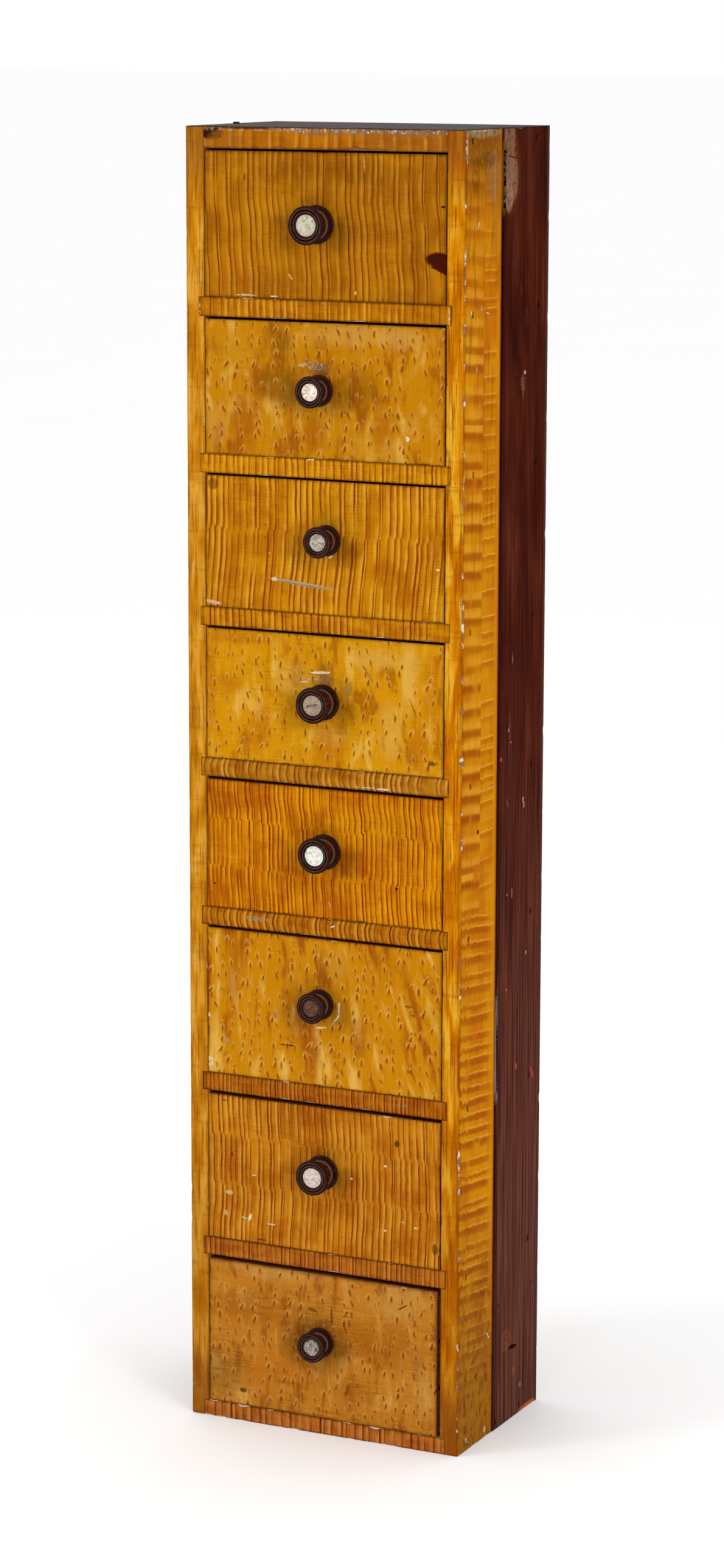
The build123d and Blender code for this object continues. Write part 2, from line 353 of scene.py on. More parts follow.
def strokes(f, across, along, pitch, seed, sway, sway_length, jitter=0.75):
    """Millimetres from the nearest of a row of uneven strokes, and that stroke's own number."""
    drift = f.noise((55, sway_length * 1.8, 1), seed, place=f.vector(across, along, seed)) - 0.5
    shiver = f.noise((9, sway_length, 1), seed + 1, place=f.vector(across, along, seed)) - 0.5
    row = (across + drift * (4 * sway) + shiver * (2.6 * sway)) / pitch + seed * 3.7
    cell = f.cells("1D", {"W": row, "Scale": 1, "Randomness": jitter}, "W")
    return (row - cell) * pitch, f.own_number(cell)


def curl(f, across, along, tones, pitch, seed, width, shine, **shape):
    """Comb strokes over a colour: crisp on the left, fading to the right, pale in between."""
    gap, own = strokes(f, across, along, pitch, seed, **shape)
    flow = f.vector(across, along, seed)
    patches = f.step(f.noise((13, 30, 1), seed + 2, detail=3, place=flow), 0.24, 0.56)
    light = f.step(f.noise((10, 26, 1), seed + 5, detail=3, place=flow), 0.38, 0.62)
    reach = own * (0.7 * width) + 0.5 * width
    pale = f.step(gap, -pitch * 0.66, -pitch * 0.34) * f.step(gap, 0, -0.5)
    f.lay(pale * light * shine, tones.pale)
    fade = f.step(gap, -0.3, 0.1) * f.step(gap, pitch * 0.5, reach * 0.6) * 0.26
    f.lay(fade * patches, tones.dark)
    line = f.step(gap, -0.28, 0) * f.step(gap - reach, 0.35, -0.3)
    stroke = line * (own * 0.3 + 0.7) * patches
    f.lay(stroke, tones.dark)
    return stroke


EYE_SPACE = (9, 8)  # how far apart the eyes are, across and up


def eyes(f, tones, seed, share):
    """Bird's eyes in loose rows: a dark tick in each, with a pale ring open at its foot."""
    wide, high = EYE_SPACE
    row = f.noise((60, 60, 40), seed + 1) - 0.5
    columns = f.noise((10, 10, 75), seed + 2, detail=1, distortion=0.4)
    place = f.vector((f.x + row * 22) / wide, f.z / high, seed)
    centre = f.cells("2D", {"Vector": place, "Scale": 1, "Randomness": 0.9}, "Position")
    across, up, _ = f.split(f.vectors("SUBTRACT", place, centre))
    up = up * high
    across = across * wide
    own = f.own_number(centre)
    other = f.own_number(centre, "Green")
    wobble = f.drift(1.7, (1.5, 1.5, 2), seed + 3, detail=3)
    shown = f.step(columns + own * 0.3, 1 - share, 1.05 - share)
    size = other * 0.7 + 0.55
    side = across - up * (own - 0.5) * 0.5
    oval = away(side / 1.8, (up + 0.3) / 2.9) / size + wobble * 0.5
    ring = f.step(oval, 1.5, 0.7) * f.step(up, -3, 0.6) * shown
    tick = away(side / 0.75, (up + 0.7) / 2.2) / size + wobble * 0.4
    dark = f.step(tick, 1.3, 0.6) * shown * (own * 0.25 + 0.75)
    smear = away((side - 0.3) / 1.7, (up + 2) / 4.6) + wobble * 0.3
    f.lay(f.step(smear, 1.2, 0.2) * shown * 0.45, tones.middle)
    f.lay(ring * (own * 0.5 + 0.1), tones.pale)
    f.lay(dark, tones.dark)
    return dark


# A mark on the front, at (x, z), or on the right side, at (y, z), with its half sizes; the turn is
# in degrees. Tear is the size of the gaps that noise leaves in it, and cover the share left.
mark = namedtuple(
    "mark",
    "u v half_u half_v paint strength turn depth shape tear cover",
    defaults=(1, 0, 0, "oval", 0, 1),
)


def marked(f, marks, face):
    """Paint each mark in its own tone on a face that looks along X or along Y.

    The mask that comes back covers the larger marks only, because a shader that holds on to
    every mask runs out of room and comes out black.
    """
    sizes = [max(each.half_u, each.half_v) for each in marks]
    large = min(5, max(sizes))
    worn = None
    for n, each in enumerate(marks):
        u, v, half_u, half_v = each[:4]
        if face == X:
            mask = f.blot((rear_face, u, v), (3, half_u, half_v), (each.turn, 0, 0), each.shape)
        else:
            mask = f.blot((u, case_front, v), (half_u, 3, half_v), (0, each.turn, 0), each.shape)
        if each.tear:
            gaps = (each.tear, each.tear, each.tear * 1.6)
            torn = f.noise(gaps, n + 170, detail=4, roughness=0.6)
            start = 0.62 - 0.32 * each.cover
            mask = mask * f.step(torn, start, start + 0.10)
        f.lay(mask * each.strength, each.paint)
        if sizes[n] >= large:
            worn = mask if worn is None else f.most(worn, mask)
    return worn


def clouds(f, patches):
    """Large soft patches of colour, each (x, z, half width, half height, tone, strength)."""
    stir = f.drift(1.5, (11, 11, 18), 171, detail=3, roughness=0.6)
    for x, z, half_width, half_height, paint, strength in patches:
        gap = away((f.x - x) / half_width, (f.z - z) / half_height)
        f.wash(gap + stir, 1.35, 0.35, strength, paint)


def rim_grime(f, low, high, reach=3, strength=0.55):
    """Grime that has gathered along the rim of a panel."""
    sides = f.least(f.x - low.x, high.x - f.x)
    ends = f.least(f.z - low.z, high.z - f.z)
    rim = f.least(sides, ends) + f.drift(reach, (6,) * 3, 5, detail=3)
    f.wash(rim, reach, 0.2, strength, darker(f, f.colour, 0.6))


# ---- Drawer fronts ----------------------------------------------------------------------
graining = namedtuple("graining", "dark middle gold pale")
DRAWER_TONES = {
    1: graining("7a3c02", "a45f08", "b8740e", "d09428"),
    2: graining("8a4503", "b46a0a", "c4800f", "d8a444"),
    3: graining("883a00", "ba6e03", "cd8608", "e2a830"),
    4: graining("904c04", "c47c06", "d2900e", "e0ac44"),
    5: graining("823200", "bc6602", "d68204", "e6a012"),
    6: graining("8e4202", "b46606", "ca8410", "e0ae4c"),
    7: graining("803408", "b66612", "cc801a", "dea43a"),
    8: graining("82441a", "b0641c", "c07a26", "d49c48"),
}

# How the comb was drawn down each front: the stroke's pitch and width, how far it sways, how much
# pale shows, the heights at which a pass ends, and the slides (from height, to height,
# millimetres to the right).
comb = namedtuple("comb", "pitch width sway shine passes slides")
COMBS = {
    1: comb(5.3, 0.85, 0.42, 0.5, (), ((880, 856, 2.3), (846, 822, 1.8))),
    3: comb(5, 1.1, 0.5, 0.7, (650,), ((651.5, 648.5, -1.3), (646, 594, -4))),
    5: comb(
        3.9, 0.95, 0.4, 0.75, (443, 409),
        ((464, 449, 1.8), (443.6, 442, 1.3), (410, 408, -1), (405, 378, 1.4)),
    ),
    7: comb(
        4.4, 0.9, 0.5, 0.6, (213, 177),
        ((240, 216, 1), (214.4, 211.6, 1.3), (178.4, 175.6, 1), (174, 138, -1.8)),
    ),
}


def combed_front(f, number):
    """Curled maple in imitation: upright strokes combed down in one pass or more."""
    tones = DRAWER_TONES[number]
    drawn = COMBS[number]
    sweep = f.noise((16, 16, 400), number, detail=3) - 0.5
    height = f.z + sweep * 13 + f.drift(8, (3, 3, 400), number + 5)
    across = f.x
    for start, end, slide in drawn.slides:
        across = across - f.step(height, start, end) * slide
    mottle = f.noise((26, 26, 20), number + 20, detail=3)
    fine = f.noise((0.8, 0.8, 34), number + 30)
    f.colour = f.mix(f.step(mottle, 0.34, 0.62), tones.middle, tones.gold)
    f.wash(fine, 0.50, 0.70, 0.2, tones.pale)
    f.wash(fine, 0.46, 0.30, 0.32, tones.dark)
    clouds(f, CLOUDS[number])
    shape = {"sway": drawn.sway, "sway_length": 13}
    stroke = curl(f, across, f.z, tones, drawn.pitch, number, drawn.width, drawn.shine, **shape)
    faint, _ = strokes(f, across, f.z, drawn.pitch * 0.47, number + 6, **shape)
    thin = f.step(faint, -0.25, 0) * f.step(faint, 0.7, 0.1) * f.step(mottle, 0.62, 0.45)
    f.lay(thin * 0.28, tones.dark)
    for end in drawn.passes:
        seam_gap = abs(height - end)
        lifted = f.step(seam_gap, 3, 0.2) * f.step(f.noise((5, 5, 60), number + 7), 0.4, 0.6)
        f.lay(lifted * 0.5, tones.gold)
    return stroke


PALE_2, ORANGE_2, BROWN_2 = "cf9c48", "ab5c06", "855008"
PALE_4, ORANGE_4 = "dcab4c", "b96603"
PALE_8, ORANGE_8, KNOB_GRIME_AND_SHADE_8 = "c9974a", "a4590f", "704418"
CLOUDS = {
    1: [
        (10, 898, 60, 8, "7e480a", 0.5),
        (-60, 862, 20, 34, "c07c12", 0.45),
        (-70, 828, 22, 10, "b8640a", 0.5),
        (74, 862, 16, 30, "8e5008", 0.45),
        (36, 838, 30, 18, "b46a0c", 0.45),
    ],
    3: [
        (-76, 640, 14, 40, "a85c04", 0.45),
        (6, 668, 26, 20, "cf8c10", 0.45),
        (60, 628, 26, 26, "b06204", 0.4),
    ],
    5: [
        (-80, 440, 12, 32, "a04e02", 0.45),
        (-40, 404, 30, 16, "a45204", 0.45),
        (50, 446, 34, 18, "d08a08", 0.4),
    ],
    7: [
        (-14, 236, 26, 10, "8e4a0c", 0.5),
        (-74, 176, 18, 34, "a85c14", 0.4),
        (62, 168, 26, 26, "a65612", 0.4),
        (30, 214, 30, 14, "c47e1e", 0.4),
    ],
    2: [
        (16, 787, 30, 8, PALE_2, 0.55),
        (60, 786, 26, 8, PALE_2, 0.6),
        (-70, 774, 18, 14, "c98c1c", 0.6),
        (-84, 722, 8, 16, PALE_2, 0.4),
        (30, 712, 18, 9, "cf9426", 0.5),
        (76, 720, 12, 14, "c47c0c", 0.6),
        (-62, 726, 10, 20, ORANGE_2, 0.8),
        (-49, 752, 8, 22, ORANGE_2, 0.4),
        (-33, 781, 12, 14, BROWN_2, 0.75),
        # Brown patch left of the knob: handling grime together with a painted shadow of the knob.
        (-36, 751, 22, 13, "845411", 0.7),
        (-8, 718, 9, 12, ORANGE_2, 0.7),
        (28, 750, 16, 18, BROWN_2, 0.5),
        (44, 724, 8, 16, ORANGE_2, 0.6),
    ],
    4: [
        (-89, 535, 5, 40, ORANGE_4, 0.5),
        (-66, 574, 30, 5, ORANGE_4, 0.6),
        (-74, 541, 12, 9, ORANGE_4, 0.45),
        (-50, 512, 9, 20, ORANGE_4, 0.5),
        (3, 503, 10, 16, ORANGE_4, 0.65),
        (14, 512, 5, 22, ORANGE_4, 0.5),
        (72, 508, 8, 18, ORANGE_4, 0.6),
        (83, 545, 7, 30, ORANGE_4, 0.45),
        (40, 566, 22, 8, PALE_4, 0.5),
        (66, 556, 7, 24, PALE_4, 0.55),
        (52, 516, 9, 22, PALE_4, 0.5),
        (-26, 548, 12, 14, PALE_4, 0.4),
    ],
    6: [
        (-14, 300, 16, 20, "9a4a02", 0.55),
        (-10, 280, 8, 22, "963f00", 0.6),
        (-72, 335, 5, 34, "a45002", 0.55),
        (28, 296, 7, 18, "9c4a02", 0.5),
        (50, 350, 9, 16, "b0660a", 0.4),
        (10, 345, 12, 12, "c08a30", 0.45),
    ],
    8: [
        (-40, 116, 40, 7, PALE_8, 0.55),
        (60, 106, 24, 16, PALE_8, 0.5),
        (-84, 34, 20, 20, "8f6428", 0.6),
        (80, 44, 11, 26, PALE_8, 0.45),
        (-62, 86, 36, 15, ORANGE_8, 0.7),
        (42, 74, 40, 18, ORANGE_8, 0.6),
        # Darker brown round the knob: handling grime with painted shade of the knob.
        (-8, 68, 24, 26, KNOB_GRIME_AND_SHADE_8, 0.6),
        (24, 34, 16, 16, ORANGE_8, 0.55),
        (-36, 44, 26, 16, "b86c18", 0.5),
    ],
}
EYE_SHARE = {2: 0.53, 4: 0.47, 6: 0.52, 8: 0.51}


def eyed_front(f, number):
    """Bird's-eye maple in imitation: upright flames of colour with eyes dabbed over them."""
    tones = DRAWER_TONES[number]
    flames = f.noise((9, 9, 28), number + 20, detail=4, roughness=0.55, distortion=0.5)
    wide = f.noise((34, 34, 30), number + 26)
    if number == 6:
        drop = 700 - f.z
        fan = f.vector((f.x + 62) / drop * 400, drop, 0)
        rays = f.noise((10, 60, 1), 6.4, detail=4, roughness=0.55, distortion=0.3, place=fan)
        flames = flames * 0.3 + rays * 0.7
        wide = rays * 0.6 + wide * 0.4
    blend = (flames * 0.6 + wide * 0.4 - 0.5) * 1.2 + 0.5
    stops = ((0.38, tones.middle), (0.47, tones.gold), (0.55, tones.gold), (0.66, tones.pale))
    f.colour = f.ramp(blend, *stops)
    f.wash(blend, 0.46, 0.34, 0.5, tones.dark)
    clouds(f, CLOUDS[number])
    streaks = f.noise((1.6, 1.6, 20), number + 27, detail=3)
    f.wash(streaks, 0.52, 0.70, 0.20, tones.pale)
    f.wash(streaks, 0.46, 0.30, 0.18, tones.middle)
    return eyes(f, tones, number, EYE_SHARE[number])


def grime_and_knob_shadow(f, number):
    """The varnish is brown beside the knob: grime where fingers have been all round it, and painted shadows
    of the knob to its lower left and lower right.
    """
    x, z, radius, _ = knob_place(number)
    cloud = f.drift(1.1, (9,) * 3, number + 50, detail=3)
    grime_and_shadow = []
    # The first two patches are painted shadows of the knob, to its lower left and lower right; the third is
    # grime round the knob.
    for slip, drop, reach in ((-radius - 5, -4, 18), (radius + 2, -4, 14), (0, 2, radius + 7)):
        gap = away((f.x - x - slip) / reach, (f.z - z - drop) / reach)
        grime_and_shadow.append(f.step(gap + cloud, 1.25, 0.15))
    f.lay(f.most(*grime_and_shadow) * 0.66, f.mix(0.6, f.colour, "4c2404"))


def front_paint(number, marks):
    """The painted face of one drawer front, with bare pine behind it."""
    low, high = node_box(f"drawer_front_{number}")
    f = Finish(f"drawer_{number}_graining")
    strokes_made = combed_front(f, number) if number % 2 else eyed_front(f, number)
    grime_and_knob_shadow(f, number)
    brush = old_varnish(f, number, lines=0.8 if number == 8 else 0.42)
    rim_grime(f, low, high, strength=0.5 if number in (1, 8) else 0.22)
    worn = worn_edge(f, number, bare_from=0.72, white=0.62)
    spots = marked(f, marks, Y)
    behind = f.y - case_front + f.drift(1.6, (4,) * 3, number + 8)
    f.lay(f.step(behind, 1.1, 1.5), "6a3a1c")
    f.lay(f.step(behind, 9, 12), pine(f, number, "X"))
    shown = f.step(behind, 1.5, 1.1)
    dull = f.most(worn, spots) * shown
    rough = dull * 0.3 + (1 - shown) * 0.25 + (0.46 - brush * 0.12)
    return f.dress(rough, brush * 0.4 - strokes_made * 0.12 - dull * 0.8)


def pine(f, seed, along):
    """Old unpainted pine; along names the axis that its grain follows."""
    long, fine = 160, 2.6
    grain = {"X": (long, fine, fine), "Y": (fine, long, fine), "Z": (fine, fine, long)}[along]
    rings = f.noise(tuple(size * 2.4 for size in grain), seed + 60, distortion=0.4)
    fibres = f.noise(tuple(size / 4 for size in grain), seed + 61, detail=3, roughness=0.6)
    stains = f.noise((55,) * 3, seed + 62, detail=4)
    colour = f.ramp(rings, (0.30, "96653a"), (0.48, "b5824e"), (0.60, "c6965e"), (0.75, "a16e3e"))
    colour = f.mix(f.step(fibres, 0.52, 0.35) * 0.4, colour, "734825")
    return f.mix(f.step(stains, 0.55, 0.75) * 0.45, colour, "64442a")


def bare_pine(name, seed, along):
    """A whole piece in old unpainted pine."""
    f = Finish(name)
    f.colour = pine(f, seed, along)
    fibres = f.noise((3,) * 3, seed + 64, detail=3)
    return f.dress(fibres * 0.15 + 0.62, fibres, relief=0.08)


# ---- Case finishes ----------------------------------------------------------------------
RAIL_TONES = {
    1: graining("8a4400", "ae6206", "bc740a", "dc9e28"),
    2: graining("843a00", "c07404", "d28a08", "e4a42a"),
    3: graining("7a3400", "b46806", "ca820a", "e09c28"),
    4: graining("5a2402", "a65e0e", "b8761a", "d89e40"),
    5: graining("561e02", "aa5c08", "ba7012", "d69830"),
    6: graining("5a1e04", "a2520c", "b66816", "cc862c"),
    7: graining("622808", "a3561a", "b56820", "cc8430"),
    8: graining("602410", "a85822", "ba6c2a", "d08840"),
}
RAIL_PITCH = {1: 5, 2: 4.6, 3: 4.7, 4: 5, 5: 4.8, 6: 3.2, 7: 3.8, 8: 6}
RAIL_WIDTH = {1: 0.7, 2: 1, 3: 0.9, 4: 0.55, 5: 0.6, 6: 0.6, 7: 0.6, 8: 0.9}
RAIL_BOW = {4: 1.7, 5: 1.6, 6: 0.4}


def rail_graining(f, number, low, high):
    """Short upright ticks across the front edge of a shelf, some bowed like a bracket."""
    tones = RAIL_TONES[number]
    level = (f.z - (low.z + high.z) / 2) / ((high.z - low.z) / 2)
    across = f.x - level * level * RAIL_BOW.get(number, 0)
    mottle = f.noise((18, 18, 6), number + 70, detail=3)
    fine = f.noise((0.9, 0.9, 12), number + 71)
    f.colour = f.mix(f.step(mottle, 0.34, 0.62), tones.middle, tones.gold)
    f.wash(fine, 0.47, 0.32, 0.4, tones.dark)
    f.wash(fine, 0.56, 0.72, 0.35, tones.pale)
    shape = {"sway": 0.28, "sway_length": 7, "jitter": 0.55}
    pitch, width = RAIL_PITCH[number], RAIL_WIDTH[number]
    return curl(f, across, f.z, tones, pitch, number + 9, width, shine=0.7, **shape)


def rail_paint(node, number, marks=()):
    """A shelf or the bottom: graining on the front edge, bare pine behind."""
    low, high = node_box(node)
    f = Finish(f"{node}_graining")
    ticks = rail_graining(f, number, low, high)
    brush = old_varnish(f, number + 11)
    rim_grime(f, low, high, reach=1.8, strength=0.75)
    worn = worn_edge(f, number + 11, bare_from=0.62, white=0.75)
    if marks:
        worn = f.most(worn, marked(f, marks, Y))
    inside = f.step(f.y - case_front + (brush - 0.5) * 1.5, 0.7, 1.6)
    f.lay(inside, pine(f, number + 11, "X"))
    return f.dress(worn * 0.3 + (0.5 - brush * 0.12), brush * 0.4 - ticks * 0.15 - worn * 0.8)


def top_rail_graining(f):
    """Broad pale bands across an orange ground."""
    tones = graining("7c3c0c", "ac600c", "bd7216", "d2963c")
    mottle = f.noise((30, 30, 9), 81, detail=3)
    f.colour = f.mix(f.step(mottle, 0.35, 0.65), tones.middle, tones.gold)
    gap, own = strokes(f, f.x, f.z, 10.5, 82, sway=0.6, sway_length=10, jitter=0.7)
    band = f.step(gap, -1.6, 0) * f.step(gap, 2, 0.3) * (own * 0.5 + 0.25)
    f.lay(band, tones.pale)
    shade = f.step(gap, 1.2, 3.2) * f.step(gap, 6.5, 3.4) * 0.45
    f.lay(shade, tones.dark)
    fine = f.noise((0.9, 0.9, 12), 85)
    f.wash(fine, 0.46, 0.32, 0.3, tones.dark)


def dark_top_colour(f):
    """Dark brown paint on the top, dragged on with a dry brush."""
    drag = f.noise((70, 1.6, 3), 83, detail=4, roughness=0.65)
    cloud = f.noise((45,) * 3, 84, detail=3)
    colour = f.ramp(drag, (0.30, "241a17"), (0.50, "3a2c27"), (0.66, "54463e"), (0.78, "7c6f63"))
    return f.mix(f.step(cloud, 0.5, 0.75) * 0.4, colour, "3a1f18")


TOP_MARKS = [
    mark(-86, 922.2, 9, 4, "3c1c10", tear=3),
    mark(68, 918, 38, 9, "96581e", 0.5, tear=5, cover=0.8),
    mark(-76, 916, 14, 9, "9c6420", 0.5, tear=5, cover=0.8),
    mark(-12, 926, 82, 1.8, SCUFF, 0.6, tear=3, cover=0.5, shape="bar"),
    mark(34, 924.6, 56, 2.6, "7d6a55", 0.75, tear=1.8, cover=0.55, shape="bar"),
    mark(30, 925.2, 60, 1.6, GROUND, 0.8, tear=1.4, cover=0.25, shape="bar"),
    mark(-60, 926, 20, 0.8, "4a2a18", 0.8, tear=3),
]


def top_paint():
    """The top board: dark above, banded along its front edge, bare pine underneath."""
    f = Finish("top_board_paint")
    top_rail_graining(f)
    brush = old_varnish(f, 12)
    rim_grime(f, top_low, top_high, reach=2.4)
    worn = worn_edge(f, 12, bare_from=1, white=0.35)
    dull = f.most(worn, marked(f, TOP_MARKS, Y))
    above = f.step(f.z + (brush - 0.5) * 1.4, case_height - 0.9, case_height - 0.35)
    f.lay(above, dark_top_colour(f))
    behind = f.step(f.y - case_front, 1.2, 2) * f.step(f.z, case_height - 1, case_height - 1.6)
    f.lay(behind, pine(f, 13, "X"))
    return f.dress(dull * 0.25 + (0.55 - brush * 0.12), brush * 0.5 - dull * 0.8)


def stile_graining(f, side):
    """Mottled gold on the front edge of a side board; the right one is redder."""
    warm = graining("8a3e02", "be6803", "d48205", "eaac2c")
    plain = graining("8a4a12", "b87018", "ce881c", "e0a23a")
    tones = warm if side > 0 else plain
    mottle = f.noise((8, 8, 36), 90 + side, detail=4, distortion=0.4)
    streak = f.noise((1.3, 1.3, 34), 92 + side, detail=4, roughness=0.6)
    stops = ((0.36, tones.middle), (0.50, tones.gold), (0.64, tones.pale))
    f.colour = f.ramp(mottle, *stops)
    f.wash(streak, 0.50, 0.34, 0.75, tones.dark)
    f.wash(streak, 0.54, 0.70, 0.35, tones.pale)
    bands = f.noise((24, 24, 4), 94 + side, detail=3, roughness=0.6)
    f.wash(bands, 0.46, 0.30, 0.3, tones.dark)
    low = f.step(f.z + (mottle - 0.5) * 160, 330, 90)
    f.lay(low * (0.42 if side > 0 else 0.3), "8a4414")
    crown = f.step(f.z + (mottle - 0.5) * 60, 872, 912)
    foot = f.step(f.z + (mottle - 0.5) * 60, 75, 15)
    f.lay(f.most(crown * 0.6, foot * 0.65), "84481e")


def side_bands(f):
    """Level bands down the outer face, combed in two passes side by side."""
    tones = graining("9e4600", "c87204", "d68c06", "e8aa32")
    depth = f.y - case_front
    upper = f.step(f.z, 386, 394)
    mottle = f.noise((30, 26, 50), 96, detail=3)
    feather = f.drift(9, (60, 0.7, 8), 99, detail=3, roughness=0.62)
    patch = f.step(f.noise((30, 22, 24), 101, detail=3), 0.26, 0.46)
    f.colour = f.mix(f.step(mottle, 0.34, 0.62), tones.middle, tones.gold)
    high_bands(f, tones, depth, feather, patch * upper)
    low_bands(f, tones, depth, feather, patch * (1 - upper))
    f.wash(depth, 49, 53, 0.65, tones.gold)
    fine = f.noise((60, 0.9, 24), 97, detail=3)
    f.wash(fine, 0.54, 0.72, 0.2, tones.pale)
    f.wash(fine, 0.46, 0.30, 0.26, tones.dark)
    smears = f.noise((60, 3.6, 46), 108, detail=3, roughness=0.6)
    worked = f.step(f.z, 560, 700) * 0.42 + 0.12
    f.wash(smears, 0.48, 0.34, worked, "8c5012")
    foot = f.step(f.z + mottle * 60, 240, 50) * 0.85
    f.lay(foot, f.mix(0.64, f.colour, "543420"))
    grubby = f.noise((20, 5, 9), 109, detail=4, roughness=0.65)
    f.lay(foot * f.step(grubby, 0.50, 0.64) * 0.75, "583018")
    f.lay(foot * f.step(grubby, 0.46, 0.34) * 0.4, "b07c38")
    crown = f.step(f.z + (mottle - 0.5) * 90, 840, 905) * 0.62
    f.lay(crown, f.mix(0.75, f.colour, "6a3a12"))


def high_bands(f, tones, depth, feather, where):
    """The upper bands: a broad pass with dark feathers, then one of thin pale crests."""
    edge = depth + f.drift(2.4, (6, 6, 50), 95)
    second = f.step(edge, 29.6, 30.2)
    broad, own = strokes(f, f.z + depth * 0.09, depth, 15.5, 98, sway=0.6, sway_length=22, jitter=0.45)
    where = where * (1 - f.step(f.z, 590, 700) * 0.15) * (1 - f.step(f.z, 780, 880) * 0.4)
    first = where * (1 - second) * (own * 0.4 + 0.6)
    band = f.step(broad + feather * 0.7, -9, -4) * f.step(broad + feather * 0.35, 0.2, -2.2)
    crest = f.step(broad + feather * 0.1, -1, 0.8) * f.step(broad, 6.6, 3)
    f.lay(crest * first * 0.6, tones.pale)
    f.lay(band * first * 0.9, tones.dark)
    ripple = f.drift(2.4, (6, 3, 12), 106, detail=1)
    rise = f.z + depth * 0.02 + ripple
    thin, own = strokes(f, rise, depth, 9.2, 107, sway=0.3, sway_length=16, jitter=0.7)
    last = where * second * f.step(own, 0.12, 0.3) * f.step(depth, 54, 51)
    shade = f.step(thin + feather * 0.6, -6, -2.5) * f.step(thin, 0, -0.9)
    line = f.step(thin, -0.5, 0.1) * f.step(thin, 1.3, 0.5)
    f.lay(shade * last * 0.45, tones.dark)
    f.lay(line * last * 0.75, tones.pale)


def low_bands(f, tones, depth, feather, where):
    """The lower bands: closer together, each with a thin pale crest that curls near the corner."""
    near = f.step(depth, 19, 11)
    ripple = f.drift(3, (6, 3.2, 12), 104, detail=1.5)
    curls = f.drift(9, (6, 2.4, 7), 105)
    closer = f.step(f.z, 318, 300)
    rise = f.z + depth * 0.12 + ripple + curls * near
    gap, own = strokes(f, rise, depth, 10.2, 100, sway=0.5, sway_length=20, jitter=0.5)
    weight = where * (own * 0.3 + 0.7) * (closer * 0.15 + 0.85) * f.step(f.z, 5, 110)
    band = f.step(gap + feather * 0.55, -9, -3) * f.step(gap + feather * 0.05, 0, -1.2)
    crest = f.step(gap, -0.5, 0.1) * f.step(gap, 1.8, 0.5)
    f.lay(band * weight * (1 - f.step(depth, 42, 52) * 0.7) * 0.82, tones.dark)
    f.lay(crest * weight * (1 - near * 0.45) * 0.7, tones.pale)


RIGHT_FRONT_MARKS = [
    mark(-67.6, 914, 1.2, 12, GROUND, 0.7, tear=1.4, cover=0.6),
    mark(-38, 916, 30, 12, "6e4420", 0.5, tear=2.4, cover=0.8, shape="bar"),
    mark(-40, 926, 30, 5, "988468", 0.85, tear=1.8, cover=0.6),
    mark(-46, 926.4, 18, 0.9, GROUND, 0.7, tear=1.4, cover=0.5),
    mark(-26, 896, 11, 17, "98694a", 0.5, tear=1.6, cover=0.7),
    mark(-22, 888, 1.2, 26, "b98a6a", 0.5, tear=1.6, cover=0.6),
    mark(-20, 860, 3, 26, "a06c30", 0.45, tear=2, cover=0.8),
    mark(-36, 906, 14, 6, "4e2e16", 0.5, tear=2, cover=0.6),
    mark(-54, 896, 6, 14, "63360f", 0.5, tear=2, cover=0.6),
    mark(-18.4, 75, 0.5, 3.6, GROUND, turn=40),
    mark(-5, 6, 2.6, 2.6, "8f8578", 0.7),
    mark(-23, 6, 1.5, 2.6, GROUND, 0.6),
    mark(-53, 7, 3.6, 1.3, GROUND, 0.8, turn=-40),
    mark(-42.2, 446, 1.5, 1.5, GRIME),
    mark(-40, 224.5, 2.4, 1.8, "7a5a2c", 0.7),
    mark(-39, 50.5, 2.6, 0.9, GRIME, 0.7, turn=30),
    mark(-40, 64, 9, 2.6, "8a5426", 0.6, turn=20),
    mark(-48.6, 863, 0.5, 2.8, GROUND, 0.9, turn=-30),
    mark(-58.5, 804, 1.8, 3.4, "8a6a4c", 0.8, tear=1.4),
    mark(-59, 805, 0.8, 1.4, GROUND, 0.9),
    mark(-43, 807, 0.5, 2, GROUND, 0.7),
    mark(-33, 803.5, 3.2, 0.5, GROUND, 0.8, turn=-15),
    mark(-50, 766.5, 0.6, 2, GROUND, 0.6),
    mark(-20, 475, 4, 0.7, "6f665b", 0.7),
    mark(-25, 457, 3.4, 0.7, "8f7f6a", 0.7, turn=-35),
]


def side_front_paint(side, marks):
    """A side's front board: plain on the stile, banded outside, bare pine within."""
    f = Finish(f"{SIDES[side]}_side_graining")
    outward = side_face - f.x if side > 0 else f.x + side_face
    from_front = f.y - case_front
    corner = f.drift(0.8, (2, 2, 5), 103)
    on_side = f.step(from_front - outward + corner, -0.25, 0.25)
    stile_graining(f, side)
    stile = f.colour
    side_bands(f)
    f.colour = f.mix(on_side, stile, f.colour)
    brush = old_varnish(f, 14 + side, upright=True)
    worn = worn_edge(f, 14 + side, bare_from=0.4 if side > 0 else 0.6, white=0.5)
    if marks:
        worn = f.most(worn, marked(f, marks, X))
    above = f.step(f.z + (brush - 0.5) * 1.4, case_height - 0.8, case_height - 0.3)
    f.lay(above, dark_top_colour(f))
    f.wash(from_front + corner, 54.8, 55.8, 0.6, "b85405")
    f.wash(from_front + corner, 57, 57.8, 0.85, "2a1a10")
    inward = f.least(outward, from_front, case_height - f.z)
    f.lay(f.step(inward + (brush - 0.5), 1.4, 2.6), pine(f, 15 + side, "Z"))
    return f.dress(worn * 0.3 + (0.46 - brush * 0.12), brush * 0.4 - worn * 0.8, gloss=0.003)


